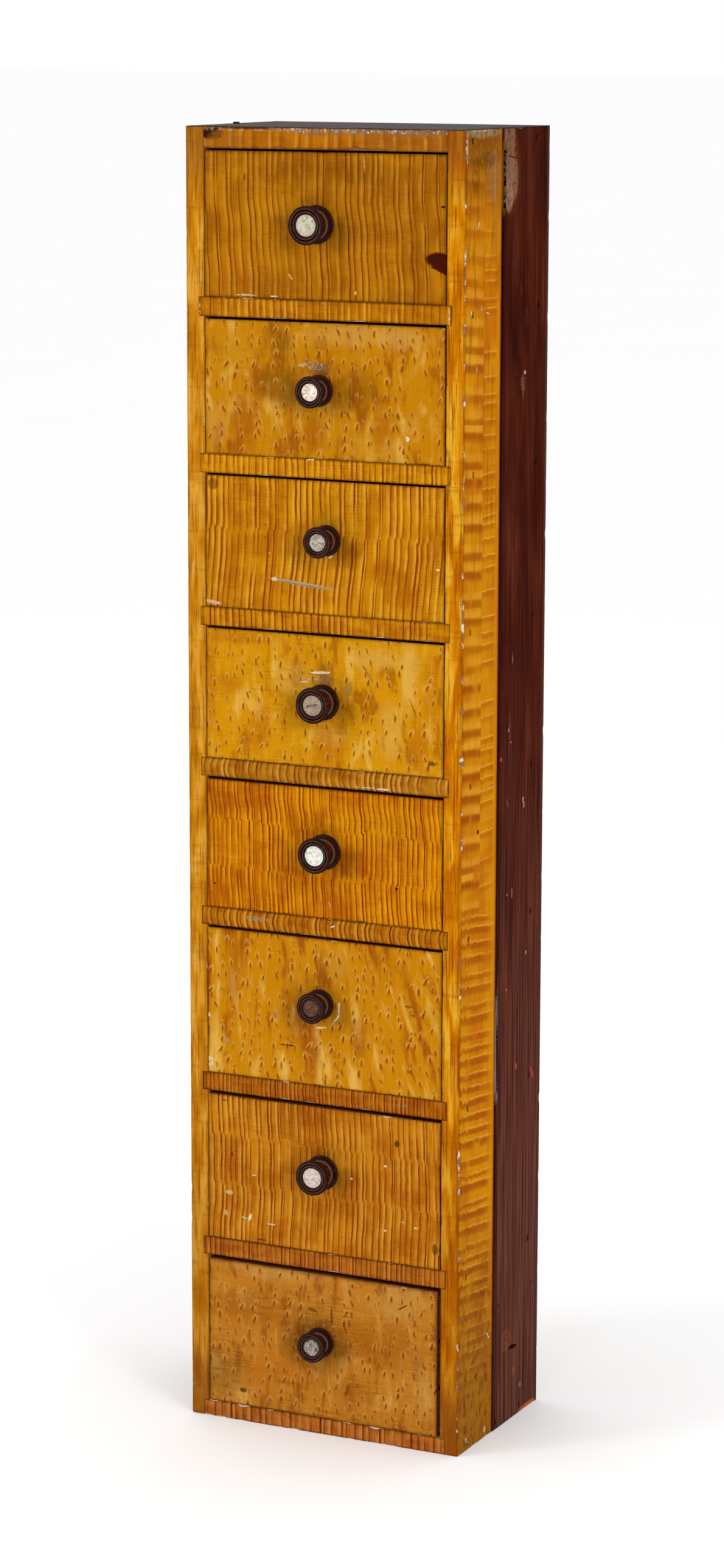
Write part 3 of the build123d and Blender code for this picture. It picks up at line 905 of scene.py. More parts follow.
RIGHT_REAR_MARKS = [
    mark(3, 899, 15, 31, "5e3018", 0.8, tear=1.8, cover=0.8),
    mark(0, 909, 8.6, 19, "84604c", 0.9, tear=2.6, cover=0.8, shape="bar"),
    mark(5, 893, 9.5, 16, "8c6852", 0.9, tear=2, cover=0.72),
    mark(-0.5, 881, 7, 11, "98725c", 0.85, tear=1.6, cover=0.72),
    mark(9, 902, 5, 20, "8a5036", 0.6, tear=1.4, cover=0.5),
    mark(0, 904, 3, 20, "5a3a2a", 0.4, tear=1.6, cover=0.5),
    mark(6, 907, 9, 0.45, "4a2414", turn=-8),
    mark(-8.5, 893, 2.2, 23, "7d5216", 0.9, shape="bar", tear=3),
    mark(-6, 893, 0.6, 24, "120b08", shape="bar"),
    mark(32, 797, 3.6, 8, "5c4636", 0.4, tear=1, cover=0.5),
    mark(26.5, 752, 4, 7, "7c6650", 0.7, tear=0.9, cover=0.45),
    mark(26, 748, 0.7, 9, "8a5a40", 0.6, turn=6, tear=1.2),
    mark(29.5, 758.5, 1.1, 1.4, GROUND),
    mark(35.5, 817, 2, 8.5, "642a14", 0.6, turn=12, tear=1.2, cover=0.7),
    mark(22, 816, 1.6, 5.5, "642e1a", 0.6, turn=14, tear=1.2, cover=0.7),
    mark(12, 755, 5, 14, "6a3420", 0.45, tear=1.2, cover=0.5),
    mark(12, 62, 9, 8, "8a5238", 0.55, tear=1.4, cover=0.6),
    mark(24, 54, 7, 1.6, GRIME, turn=-8),
    mark(44, 108, 11, 18, "74432f", 0.4, tear=1.6, cover=0.5),
    mark(25.5, 263, 1.3, 2.4, "c0512c"),
    mark(54, 252, 1.6, 6, "b04a28", 0.7, turn=35),
    mark(-5.5, 491, 2, 1.4, "b5502e", 0.8),
    mark(6, 458, 1.2, 4, "8e4026", 0.7, turn=20),
    mark(15.4, 392, 0.45, 3.6, "b59a8c"),
    mark(35, 452, 0.6, 2, "c9beb4"),
    mark(7, 392, 0.7, 1, "cf7a55"),
    mark(7.5, 323, 0.7, 1, "cf7a55"),
    mark(7, 510, 0.6, 1.2, "c9a08c"),
    mark(11, 501, 0.8, 0.7, "d7b49a"),
    mark(38, 21, 2.2, 2, "7a6a62", 0.8),
    mark(26, 35, 2.6, 3.4, "8e4a30", 0.7),
    mark(53, 1.2, 18, 2, "b0603a", tear=2),
    mark(-8.4, 292, 2.2, 44, "8f8a86", 0.8, tear=2.2, shape="splinter"),
    mark(56, 93.5, 1, 1, GRIME),
    mark(-1, 92.5, 1.1, 1.1, GRIME),
    mark(33.6, 456, 0.9, 2.4, "c9beb4", 0.8),
    mark(40, 508, 3.6, 15, "6e3422", 0.5, tear=1.2, cover=0.6),
    mark(6, 330, 0.5, 18, "8a4630", 0.5, tear=1.2, cover=0.7),
    mark(40.8, 343.6, 0.7, 1.6, "c9beb4", 0.8),
    mark(13, 560, 0.4, 4, "b08a76", 0.7),
    mark(9, 512, 0.5, 9, "a87a66", 0.5, turn=4, tear=1.2, cover=0.7),
]


def red_brown_paint(side, marks):
    """Dark red-brown paint on the rear boards, brushed upright and rubbed lighter low down."""
    f = Finish(f"{SIDES[side]}_rear_red_brown")
    streak = f.noise((1.8, 1.8, 110), 110 + side, detail=4, roughness=0.62)
    cloud = f.noise((22, 22, 80), 112 + side, detail=4)
    stops = ((0.36, "30120c"), (0.46, "441a11"), (0.55, "522317"), (0.68, "6a3424"))
    f.colour = f.ramp(streak * 0.5 + cloud * 0.5, *stops)
    faded = f.step(f.z + (cloud - 0.5) * 260, 600, 120) * 0.6
    low_tone = f.mix(f.step(streak, 0.34, 0.66), "4a241a", "84564a")
    f.lay(faded, low_tone)
    hairs = f.noise((0.5, 0.5, 30), 114 + side)
    patches = f.noise((20, 20, 50), 115)
    f.lay(f.step(hairs, 0.62, 0.76) * f.step(patches, 0.42, 0.62) * 0.5, "8a4c34")
    f.wash(hairs, 0.42, 0.30, 0.4, "260d0a")
    rubs = f.noise((1.1, 1.1, 3.2), 116 + side)
    f.wash(rubs, 0.77, 0.82, 0.75, "b98470")
    by_seam = f.step(f.y, seam + 9, seam + 1) * 0.55
    f.lay(by_seam, "24100b")
    wear = f.attribute("wear")
    tear = f.noise((1.4, 1.4, 2.4), 117 + side, detail=4, roughness=0.65)
    edge = wear + (tear - 0.5) * 1.4
    chipped = f.step(edge, 0.55, 0.75)
    f.wash(edge, -1.4, 0.2, 0.5, "1c0d09")
    f.lay(chipped, f.mix(f.step(tear, 0.42, 0.6), "54392e", "a07c66"))
    if marks:
        chipped = f.most(chipped, marked(f, marks, X))
    outward = rear_face - f.x if side > 0 else f.x + rear_face
    above = f.step(f.z + (tear - 0.5) * 1.4, case_height - 0.8, case_height - 0.3)
    f.lay(above, dark_top_colour(f))
    inward = f.least(outward, case_height - f.z)
    f.lay(f.step(inward + (tear - 0.5), 1.4, 2.6), pine(f, 16 + side, "Z"))
    rough = chipped * 0.25 + (0.50 - streak * 0.14)
    return f.dress(rough, streak * 0.6 - chipped * 0.7, gloss=0.003)


def back_paint():
    """The back board: old dark-stained pine with the red-brown paint turned round its edges."""
    f = Finish("back_board_stain")
    f.colour = pine(f, 18, "Z")
    stain = f.noise((40, 40, 120), 119, detail=4)
    f.lay(f.step(stain, 0.25, 0.65) * 0.35 + 0.4, "4c3020")
    saw = f.noise((400, 400, 1.5), 120)
    f.wash(saw, 0.5, 0.32, 0.3, "38241a")
    rim = rear_face - abs(f.x) + f.drift(2, (1.6, 1.6, 6), 121, detail=3)
    painted = f.step(rim, 0.9, 0.3)
    f.lay(painted, "481c13")
    torn = f.noise((2,) * 3, 122, detail=3)
    wear = f.step(f.attribute("wear") + (torn - 0.5) * 1.6, 0.6, 0.8)
    f.lay(wear, "8a5c42")
    above = f.step(f.z, case_height - 0.6, case_height - 0.2)
    f.lay(above, dark_top_colour(f))
    return f.dress(0.72 - painted * 0.2, saw - wear, gloss=0.05)


# ---- Small pieces -----------------------------------------------------------------------
def knob_paint(number):
    """Dark turned wood: painted highlights on the ridges and collar, painted shade on the rim and in the
    grooves, and a reddish cove where it is worn.
    """
    x, z, size, out = knob_place(number)
    f = Finish(f"knob_{number}_wood")
    radius = away(f.x - x, f.z - z)
    stand = case_front - f.y
    streak = f.noise((1.2, 4, 1.2), number + 130, detail=4, roughness=0.6)
    wisps = f.noise((3.2, 0.9, 3.2), number + 131, detail=3)
    f.colour = f.ramp(streak, (0.35, "1c0b06"), (0.52, "301409"), (0.72, "4c2210"))
    cove = f.step(stand, 4.2, 5.8) * f.step(stand, out - 2.4, out - 3.6)
    f.lay(cove * f.step(wisps, 0.46, 0.62) * 0.9, "7e3a1c")
    turning = f.noise((0.3, 0.6, 0.3), number + 132, place=f.vector(radius, f.y, 0))
    f.wash(turning, 0.56, 0.70, 0.35, "5c3626")
    f.wash(turning, 0.44, 0.32, 0.5, "0e0503")
    face = f.step(stand, out - 2.2, out - 1.5)
    patchy = f.step(wisps, 0.34, 0.62) * 0.6 + 0.4
    # Painted highlights: lighter rings on the two ridges of the knob's face.
    for ridge in (0.85 * size, 0.70 * size):
        ridge_highlight = f.step(abs(radius - ridge), 0.55, 0.1)
        f.lay(ridge_highlight * face * patchy * 0.75, "6b4a3a")
    # Painted shade: near-black rings on the rim bead, in the groove and round the pearl's seat.
    for groove in (0.93 * size, 0.775 * size, 0.62 * size):
        groove_shade = f.step(abs(radius - groove), 0.5, 0.1)
        f.lay(groove_shade * face * 0.7, "0f0604")
    # Painted highlight: a light ring round the collar.
    collar = f.step(abs(radius - (size - 3.2)), 0.6, 0.15) * f.step(abs(stand - 4.4), 1, 0.4)
    f.lay(collar * 0.8, "8a6450")
    rough = wisps * 0.2 + 0.3
    return f.dress(rough, turning + streak * 0.4, relief=0.07, gloss=0.09)


shell_tones = namedtuple("shell_tones", "base shade glint fleck")
SHELL_TONES = {
    1: shell_tones("c2b09c", "9c8672", "d8ccba", "9edcae"),
    2: shell_tones("f2e8d8", "c8a884", "fffdf8", "d07a30"),
    3: shell_tones("a8998c", "7a695d", "c9c5b9", "d8d8c8"),
    4: shell_tones("a38a74", "8a705c", "b59c86", "947864"),
    5: shell_tones("e6e6da", "b4ae9e", "fdfffb", "e2d4a8"),
    6: shell_tones("4a2616", "2e150c", "6a3a20", "8c4c2a"),
    7: shell_tones("d6c0b6", "b0948a", "eee2de", "c0a098"),
    8: shell_tones("75675e", "3a2d26", "aca098", "c6c6c0"),
}


def shell_finish(number):
    """Mother-of-pearl with its cloudy growth lines, flecks of colour and a dull rim."""
    x, z, size, _ = knob_place(number)
    f = Finish(f"knob_{number}_pearl")
    tones = SHELL_TONES[number]
    growth = f.noise((3.6, 3.6, 2.4), number + 140, detail=3, roughness=0.55, distortion=1.4)
    flecks = f.noise((3, 3, 1.8), number + 141, distortion=1.6)
    stops = ((0.36, tones.shade), (0.47, tones.base), (0.60, tones.glint))
    f.colour = f.ramp(growth, *stops)
    f.wash(flecks, 0.58, 0.63, 0.75, tones.fleck)
    radius = away(f.x - x, f.z - z)
    line = f.step(abs(radius - 0.47 * size), 0.3, 0.1) * f.step(growth, 0.40, 0.55)
    f.lay(line * 0.6, tones.shade)
    if number == 4:
        streak = f.step(abs(f.z - z - (f.x - x) * 0.14 + (flecks - 0.5) * 6), 1.5, 0.6)
        broken = f.step(abs(f.x - x), 5, 4) * f.step(growth, 0.42, 0.52)
        f.lay(streak * broken * 0.85, "3e2a20")
    return f.dress(growth * 0.3 + 0.12, growth, relief=0.05, gloss=0.3)


def iron_finish():
    """Cut nails gone black, with a little rust."""
    f = Finish("nail_iron")
    rust = f.noise((1.2,) * 3, 150, detail=4)
    f.colour = f.ramp(rust, (0.35, "15110f"), (0.6, "2b211d"), (0.75, "5b3a28"))
    return f.dress(rust * 0.3 + 0.45, rust, gloss=0.1)


# ---- Meshes -----------------------------------------------------------------------------
def joined_copy(node):
    """The mesh of a CAD node with its loose triangles joined, in millimetres."""
    bm = bmesh.new()
    bm.from_mesh(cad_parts[node].data)
    bmesh.ops.scale(bm, vec=(1 / MM,) * 3, verts=bm.verts)
    bmesh.ops.remove_doubles(bm, verts=bm.verts, dist=0.003)
    return bm


def slice_faces(bm, faces, axis, positions):
    """Cut faces at each position along an axis, from the middle one outwards."""
    if not positions or not faces:
        return
    middle = len(positions) // 2
    position = positions[middle]
    normal = Vector(1 if axis == n else 0 for n in range(3))
    edges = {edge for face in faces for edge in face.edges}
    verts = {vert for face in faces for vert in face.verts}
    cut = bmesh.ops.bisect_plane(
        bm, geom=[*verts, *edges, *faces], dist=1e-4, plane_co=normal * position, plane_no=normal
    )
    made = [part for part in cut["geom"] if isinstance(part, bmesh.types.BMFace)]
    below = [face for face in made if face.calc_center_median()[axis] < position]
    above = [face for face in made if face.calc_center_median()[axis] >= position]
    slice_faces(bm, below, axis, positions[:middle])
    slice_faces(bm, above, axis, positions[middle + 1 :])


EDGE_STEPS = (0.5, 1.1, 2, 3.2)  # how far the first cuts lie from an edge


def spread(low, high, spacing):
    """Cut positions between two ends: close together at both ends and evenly spaced between."""
    inner_low = low + EDGE_STEPS[-1]
    inner_high = high - EDGE_STEPS[-1]
    count = max(1, round((inner_high - inner_low) / spacing))
    even = [inner_low + (inner_high - inner_low) * n / count for n in range(count + 1)]
    return sorted([low + s for s in EDGE_STEPS[:-1]] + even + [high - s for s in EDGE_STEPS[:-1]])


def arris(first, second, rub, chips, seed):
    """An outer edge where two faces meet. A face is (axis, position, way into the wood)."""
    along = ({X, Y, Z} - {first[0], second[0]}).pop()
    return {"faces": (first, second), "along": along, "rub": rub, "chips": chips, "seed": seed}


def worn_width(place, edge):
    """How wide an arris is worn at a place along it."""
    seed = edge["seed"]
    slow = noise.noise((place * 0.021, seed, 0))
    quick = noise.noise((place * 0.31, seed, 4))
    chip = max(0, noise.noise((place * 0.085, seed, 8)) - 0.12)
    bite = max(0, noise.noise((place * 0.45, seed, 12)) - 0.25)
    return edge["rub"] * (1 + 0.7 * slow + 0.5 * quick) + edge["chips"] * (2 * chip + 0.9 * bite)


WEAR_REACH = 7  # how far from an arris its wear is noted
UNWORN = -5.0


def wear_down(bm, arrises):
    """Wear the arrises away, and note on each vertex how worn it is."""
    layer = bm.verts.layers.float.new("wear")
    for vert in bm.verts:
        start = vert.co.copy()
        most = UNWORN
        for edge in arrises:
            (a_axis, a_place, a_way), (b_axis, b_place, b_way) = edge["faces"]
            a = (start[a_axis] - a_place) * a_way
            b = (start[b_axis] - b_place) * b_way
            if max(a, b, a + b) > WEAR_REACH:
                continue
            width = worn_width(start[edge["along"]], edge)
            worn = width - a - b
            most = max(most, worn)
            if worn > 0 and min(a, b) < 0.4 * width + 0.05:
                vert.co[a_axis] += a_way * worn / 2
                vert.co[b_axis] += b_way * worn / 2
        vert[layer] = most


FACE_DEPTH = 0.6  # a vertex no deeper than this belongs to the worn face


def sink(bm, face, dent):
    """Press a mark's oval into a flat face."""
    axis, position, way = face
    u_axis, v_axis = sorted({X, Y, Z} - {axis})
    turn = math.radians(dent.turn)
    cos, sin = math.cos(turn), math.sin(turn)
    for vert in bm.verts:
        if abs(vert.co[axis] - position) > FACE_DEPTH:
            continue
        u, v = vert.co[u_axis] - dent.u, vert.co[v_axis] - dent.v
        gap = math.hypot((u * cos - v * sin) / dent.half_u, (u * sin + v * cos) / dent.half_v)
        gap += 0.25 * noise.noise((vert.co.x * 0.7, vert.co.y * 0.7, vert.co.z * 0.7))
        if gap < 1:
            vert.co[axis] += way * dent.depth * min(1, (1 - gap) * 3)


def as_piece(bm, name, body, node, material, angle=36):
    """Turn a bmesh in millimetres into a finished piece that stands for a CAD node."""
    bmesh.ops.scale(bm, vec=(MM,) * 3, verts=bm.verts)
    mesh = bpy.data.meshes.new(name)
    bm.to_mesh(mesh)
    bm.free()
    mesh.polygons.foreach_set("use_smooth", [True] * len(mesh.polygons))
    mesh.set_sharp_from_angle(angle=math.radians(angle))
    mesh.materials.append(material)
    piece = bpy.data.objects.new(name, mesh)
    bpy.context.scene.collection.objects.link(piece)
    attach(piece, body)
    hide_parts(node)


def finish_node(node, material):
    """Give a CAD node that keeps its shape a better material."""
    for material_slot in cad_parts[node].material_slots:
        material_slot.material = material


# ---- The case ---------------------------------------------------------------------------
def worn_board(node, name, material, arrises, cuts):
    """A case board with worn arrises; cuts gives the cut positions along each axis."""
    bm = joined_copy(node)
    for axis, positions in cuts.items():
        slice_faces(bm, list(bm.faces), axis, positions)
    wear_down(bm, arrises)
    as_piece(bm, name, "case", node, material)


def front_board_arrises(side):
    outer = (X, side * side_face, -side)
    inner = (X, side * opening_edge, side)
    corner = (1, 1.5) if side > 0 else (0.7, 0.6)
    rows = (
        (outer, FRONT, *corner),
        (inner, FRONT, 0.35, 0.7),
        (outer, TOP, 0.6, 1.2),
        (FRONT, TOP, 0.6, 1.2),
        (outer, FOOT, 0.5, 1.6),
        (FRONT, FOOT, 0.6, 2),
        (outer, (Y, seam, -1), 0.25, 0.6),
    )
    return [arris(*row, seed=4 * n + 1 + side) for n, row in enumerate(rows)]


def rear_board_arrises(side):
    outer = (X, side * rear_face, -side)
    rows = (((Y, seam, 1), 0.3, 0.8), (TOP, 0.6, 1.4), (FOOT, 0.5, 1.8))
    return [arris(outer, *row, seed=4 * n + 31 + side) for n, row in enumerate(rows)]


def make_sides():
    upright = spread(0, case_height, 2.6)
    for side, word in SIDES.items():
        right = side > 0
        width = sorted(side * place for place in spread(opening_edge, side_face, 4))
        worn_board(
            f"{word}_side_front_board",
            f"{word}_stile_and_front_board",
            side_front_paint(side, RIGHT_FRONT_MARKS if right else ()),
            front_board_arrises(side),
            {X: width, Y: spread(case_front, seam, 7), Z: upright},
        )
        width = sorted(side * (rear_face - depth) for depth in (2, 1, 0.5))
        worn_board(
            f"{word}_side_rear_board",
            f"{word}_red_brown_board",
            red_brown_paint(side, RIGHT_REAR_MARKS if right else ()),
            rear_board_arrises(side),
            {X: width, Y: spread(seam, back_low.y, 9), Z: upright},
        )


def rail_arrises(low, high, rub, chips, seed):
    return [
        arris((Z, high.z, -1), FRONT, rub, chips, seed),
        arris((Z, low.z, 1), FRONT, rub, chips, seed + 0.5),
        arris((X, low.x, 1), FRONT, 0.3, 0.5, seed + 1.5),
        arris((X, high.x, -1), FRONT, 0.3, 0.5, seed + 2.5),
    ]


RAIL_MARKS = {
    1: [
        mark(-60, 810.6, 6, 0.4, GROUND, tear=1.4, cover=0.8),
        mark(-38, 810.8, 4, 0.35, "d0a080", tear=1.4),
        mark(94.5, 802, 0.5, 7, GROUND, 0.8, tear=1.6, cover=0.6),
        mark(80, 796.4, 14, 0.4, GROUND, 0.8, tear=1.6, cover=0.6),
        mark(-96, 803, 0.4, 6, GROUND, 0.7, tear=1.6, cover=0.5),
    ],
    2: [mark(-10, 701.4, 2.6, 0.5, GROUND, tear=1.2, cover=0.8)],
    4: [
        mark(46, 475.4, 5, 0.5, GROUND, tear=1.4, cover=0.8),
        mark(32, 475.6, 10, 0.35, GROUND, tear=1.6, cover=0.6),
    ],
    5: [
        mark(7.5, 374.4, 2, 0.6, GROUND, turn=-30, tear=1.2),
        mark(-52, 374, 10, 1.6, "8f8a7c", 0.5, tear=1.6, cover=0.7),
    ],
    6: [mark(62, 251.5, 4, 1.4, "8f8a7c", 0.5, tear=1.4, cover=0.7)],
}


def make_rail(node, name, paint, rub, chips, seed):
    """A board that shows its front edge between two drawers, or above or below them all."""
    low, high = node_box(node)
    near_front = [case_front + gap for gap in (0.4, 0.9, 1.7, 3)]
    cuts = {X: spread(low.x, high.x, 2), Y: near_front, Z: spread(low.z, high.z, 3)}
    worn_board(node, name, paint, rail_arrises(low, high, rub, chips, seed), cuts)


def make_rails():
    for number in SHELVES:
        node = f"shelf_{number}"
        paint = rail_paint(node, number, RAIL_MARKS.get(number, ()))
        make_rail(node, f"rail_{number}", paint, 0.35, 0.7, 50 + 3 * number)
    paint = rail_paint("bottom_board", 8)
    make_rail("bottom_board", "bottom_rail", paint, 0.5, 1.4, 80)
    make_rail("top_board", "top_and_top_rail", top_paint(), 0.6, 1.8, 90)


def make_back():
    outer = (Y, case_back, -1)
    arrises = [
        arris((X, side * rear_face, -side), outer, rub=0.4, chips=1.2, seed=100 + side) for side in SIDES
    ]
    arrises.append(arris(TOP, outer, rub=0.6, chips=1.4, seed=104))
    arrises.append(arris(FOOT, outer, rub=0.6, chips=1.8, seed=106))
    sides = sorted(side * (rear_face - inset) for side in SIDES for inset in EDGE_STEPS)
    cuts = {X: sides, Y: [case_back - 2, case_back - 1.1], Z: spread(0, case_height, 3)}
    worn_board("back_board", "nailed_back", back_paint(), arrises, cuts)


# ---- Drawers ----------------------------------------------------------------------------
DARK_WOOD = "451b0e"
PANEL_MARKS = {
    1: [
        mark(86.4, 840.6, 10, 5, DARK_WOOD, depth=0.5),
        mark(88, 836.4, 6, 4, DARK_WOOD, turn=24, depth=0.5, shape="bar"),
        mark(-2, 911.6, 8.5, 1.3, "3d2015", turn=2, depth=0.4),
        mark(30.5, 904, 0.5, 6, "cf9c5c", 0.8, turn=-4),
        mark(-25.5, 826, 0.45, 2.6, "e0b27a", turn=-40),
        mark(-60, 812.6, 8, 0.45, "e0c2a0", tear=1.4, cover=0.8),
        mark(-38, 812.4, 3, 0.4, GROUND, tear=1.2, cover=0.8),
        mark(24, 816.5, 0.9, 1.5, "dca76c"),
        mark(89.5, 876, 1.6, 0.9, GRIME),
        mark(-60.8, 893, 1, 2.4, "5a3412", 0.6),
    ],
    2: [
        mark(-4, 764.4, 7, 3, "7d6a52", 0.6, tear=1.2, cover=0.7),
        mark(-8, 766, 12, 3, GROUND, 0.8, tear=0.8, cover=0.22),
        mark(-16.5, 766, 2.4, 1, "cdbda0", 0.8, tear=0.8, cover=0.7),
        mark(63.8, 719.2, 1.4, 1.8, GROUND, tear=0.9, cover=0.6),
    ],
    3: [
        mark(-16.5, 614.8, 23.5, 1.3, "a99b80", turn=5.6, depth=0.4, tear=1.5, cover=1.2),
        mark(-16.5, 614.2, 21, 0.5, "6e542c", 0.6, turn=5.6, tear=2),
        mark(-38, 617, 2.4, 1.4, "cdc0a4", depth=0.3),
        mark(87, 631, 1.4, 0.7, GROUND),
        mark(-86.5, 598, 6.5, 1.3, "d8a48c", tear=2, turn=8),
        mark(-86, 681, 4, 4, "5a2e10", 0.6, tear=1.6),
        mark(5.5, 635, 1.8, 1, "cfc4a4", 0.9, turn=-30),
        mark(-42, 634.7, 0.6, 0.5, GROUND),
    ],
    4: [
        mark(-2.5, 553.8, 8, 1, "e0d6bc", turn=-4, tear=1.4, cover=0.7),
        mark(1, 549, 6, 3.4, "80694a", 0.6, tear=1.2, cover=0.7),
        mark(-8, 549.6, 9, 1.6, GROUND, 0.8, tear=0.8, cover=0.3),
        mark(-15, 546.5, 3.4, 0.6, "cfc0a0", turn=-6, tear=1.4),
        mark(19, 543, 3.4, 4.8, "93733c", 0.65, turn=14, tear=1.8),
        mark(83.5, 496.5, 2.8, 1.6, "5a3412", 0.8),
        mark(34, 556, 0.9, 7, "8a642c", 0.6, turn=-35),
        mark(69, 534, 0.35, 7.5, "6a3406", 0.8, turn=-24),
        mark(-68.5, 580.6, 2.4, 0.6, GROUND, 0.7),
    ],
    5: [
        mark(57, 406, 1, 0.9, GRIME),
        mark(5, 390, 0.4, 2.2, "d8b070", turn=-20),
        mark(-86, 396.5, 0.8, 0.7, GRIME),
    ],
    6: [
        mark(12.5, 316, 0.5, 4.4, GROUND, turn=4, tear=1.2),
        mark(10.4, 308, 0.45, 4.2, GROUND, turn=35, tear=1.2),
        mark(-1.5, 300.4, 4.2, 0.5, GROUND, turn=-6, tear=1.2),
        mark(-90, 266, 3.4, 4.2, GROUND, 0.9, tear=1.4, cover=0.45),
        mark(-91.5, 300, 1.6, 1.4, GROUND, 0.8),
        mark(-38, 306.8, 2.6, 0.8, "8d7c68", 0.8, tear=1.2),
        mark(-28, 284.7, 6.6, 0.35, "4b2a10"),
        mark(66.5, 323, 3.2, 1.1, "6a4a24", 0.7),
        mark(70, 317, 1.8, 0.8, "6a4a24", 0.7),
        mark(8, 364.5, 2.6, 0.8, GROUND, tear=1.6),
        mark(67, 276.5, 1.8, 1.1, "6a4418", 0.7),
        mark(27.5, 289.5, 1.4, 1.6, "80643c", 0.7),
        mark(-77, 283, 2.4, 2, "a98e74", 0.6, tear=1.4),
    ],
    7: [
        mark(-75, 170.5, 2.8, 1.6, "c9b08a", 0.85, tear=1.4),
        mark(-58.5, 154, 1.2, 3, GROUND, 0.9, turn=20, tear=1.2),
        mark(-63, 153, 2.6, 0.5, "d6c4a6", 0.9, turn=8),
        mark(-78, 155, 1.6, 2, "c9b08a", 0.7, tear=1.2),
        mark(-41.5, 151, 3.2, 0.5, "d6c4a6", 0.9),
        mark(-55, 185.6, 1.8, 0.5, "dcc8a2", 0.9),
        mark(49, 205.7, 1.4, 0.7, "e0cda8"),
        mark(58, 223, 1.8, 2.6, "54280a", 0.85, turn=12, tear=1.2),
        mark(73, 163.5, 1.6, 0.5, "e0cda8"),
        mark(49, 158.6, 1.2, 0.5, "e0cda8"),
        mark(63, 166.8, 1.2, 0.9, "b5a074"),
        mark(22.5, 193.2, 1.2, 0.5, "e0cda8"),
        mark(88, 150, 2.2, 4, "5e3a12", 0.8, tear=1.6),
        mark(-79, 238.5, 1.6, 1, "74400c", 0.7),
        mark(-73, 199, 1.2, 1.6, "54280a", 0.7),
        mark(-49, 138.6, 4, 0.8, "54280a", 0.7, tear=1.6),
        mark(50, 242, 3.6, 0.8, "dcbc84", tear=1.6),
    ],
    8: [
        mark(7, 89.5, 0.8, 7.6, "5a3a16", 0.8),
        mark(-64.5, 23.4, 3.2, 1.8, "4b2d14", 0.8),
        mark(63, 104, 4.6, 0.45, "54300f", turn=-32),
        mark(18, 81, 0.6, 4, "54300f", 0.7, turn=-20, tear=1.2),
        mark(19.5, 36, 1.4, 5, "6a3d18", 0.7, turn=14, tear=1.2),
        mark(-8, 92, 4, 1.4, "4e2c10", 0.6, turn=10),
        mark(-10, 57.5, 3, 1.2, "6a3a10", 0.6, turn=-20),
        mark(64, 118.5, 2, 0.5, "d0ab6a", 0.8),
    ],
}


def uneven_face(bm, number):
    """Let the planed face dip a little, but not where the knob stands on it."""
    x, z, radius, _ = knob_place(number)
    for vert in bm.verts:
        if vert.co.y > case_front + 0.3:
            continue
        clear = min(1, max(0, (math.hypot(vert.co.x - x, vert.co.z - z) - radius) / 12))
        swell = noise.noise((vert.co.x * 0.03, number * 5, vert.co.z * 0.03))
        ripple = noise.noise((vert.co.x * 0.12, number * 7, vert.co.z * 0.05))
        vert.co.y += clear * max(0, 0.10 + 0.10 * swell + 0.04 * ripple)


def make_front(number):
    node = f"drawer_front_{number}"
    low, high = node_box(node)
    bm = joined_copy(node)
    spacing = 1.5
    for axis in (X, Z):
        face = [f for f in bm.faces if max(v.co.y for v in f.verts) < case_front + 1.5]
        slice_faces(bm, face, axis, spread(low[axis], high[axis], spacing))
    sides = ((X, low.x, 1), (X, high.x, -1), (Z, low.z, 1), (Z, high.z, -1))
    seed = 120 + 4 * number
    arrises = [arris(side, FRONT, rub=0.45, chips=0.8, seed=seed + n) for n, side in enumerate(sides)]
    wear_down(bm, arrises)
    for each in PANEL_MARKS[number]:
        if each.depth:
            sink(bm, FRONT, each)
    uneven_face(bm, number)
    paint = front_paint(number, PANEL_MARKS[number])
    as_piece(bm, f"drawer_{number}_front", f"drawer_{number}", node, paint)


def arc(centre, radius, start, end, steps):
    """Points round a centre, from one angle to another in degrees."""
    angles = [math.radians(start + (end - start) * n / steps) for n in range(steps + 1)]
    return [(centre[0] + radius * math.cos(a), centre[1] + radius * math.sin(a)) for a in angles]


def bow(start, end, dip, steps):
    """A shallow curve between two points, bowed to one side by the dip at its middle."""
    start, end = Vector(start), Vector(end)
    across = (end - start).orthogonal().normalized()
    points = []
    for n in range(steps + 1):
        share = n / steps
        points.append(tuple(start.lerp(end, share) + across * (4 * dip * share * (1 - share))))
    return points


def cove(start, end, waist, steps):
    """A hollow that runs from one edge in to the waist and out to the other edge."""
    start, end = Vector(start), Vector(end)
    points = []
    for n in range(1, steps):
        share = n / steps
        point = start.lerp(end, share)
        ease = (1 - math.cos(math.pi * share)) / 2
        dip = math.sin(math.pi * share) * (point.x - waist) * (0.75 - 0.25 * ease)
        points.append((point.x - max(0, dip), point.y))
    return points


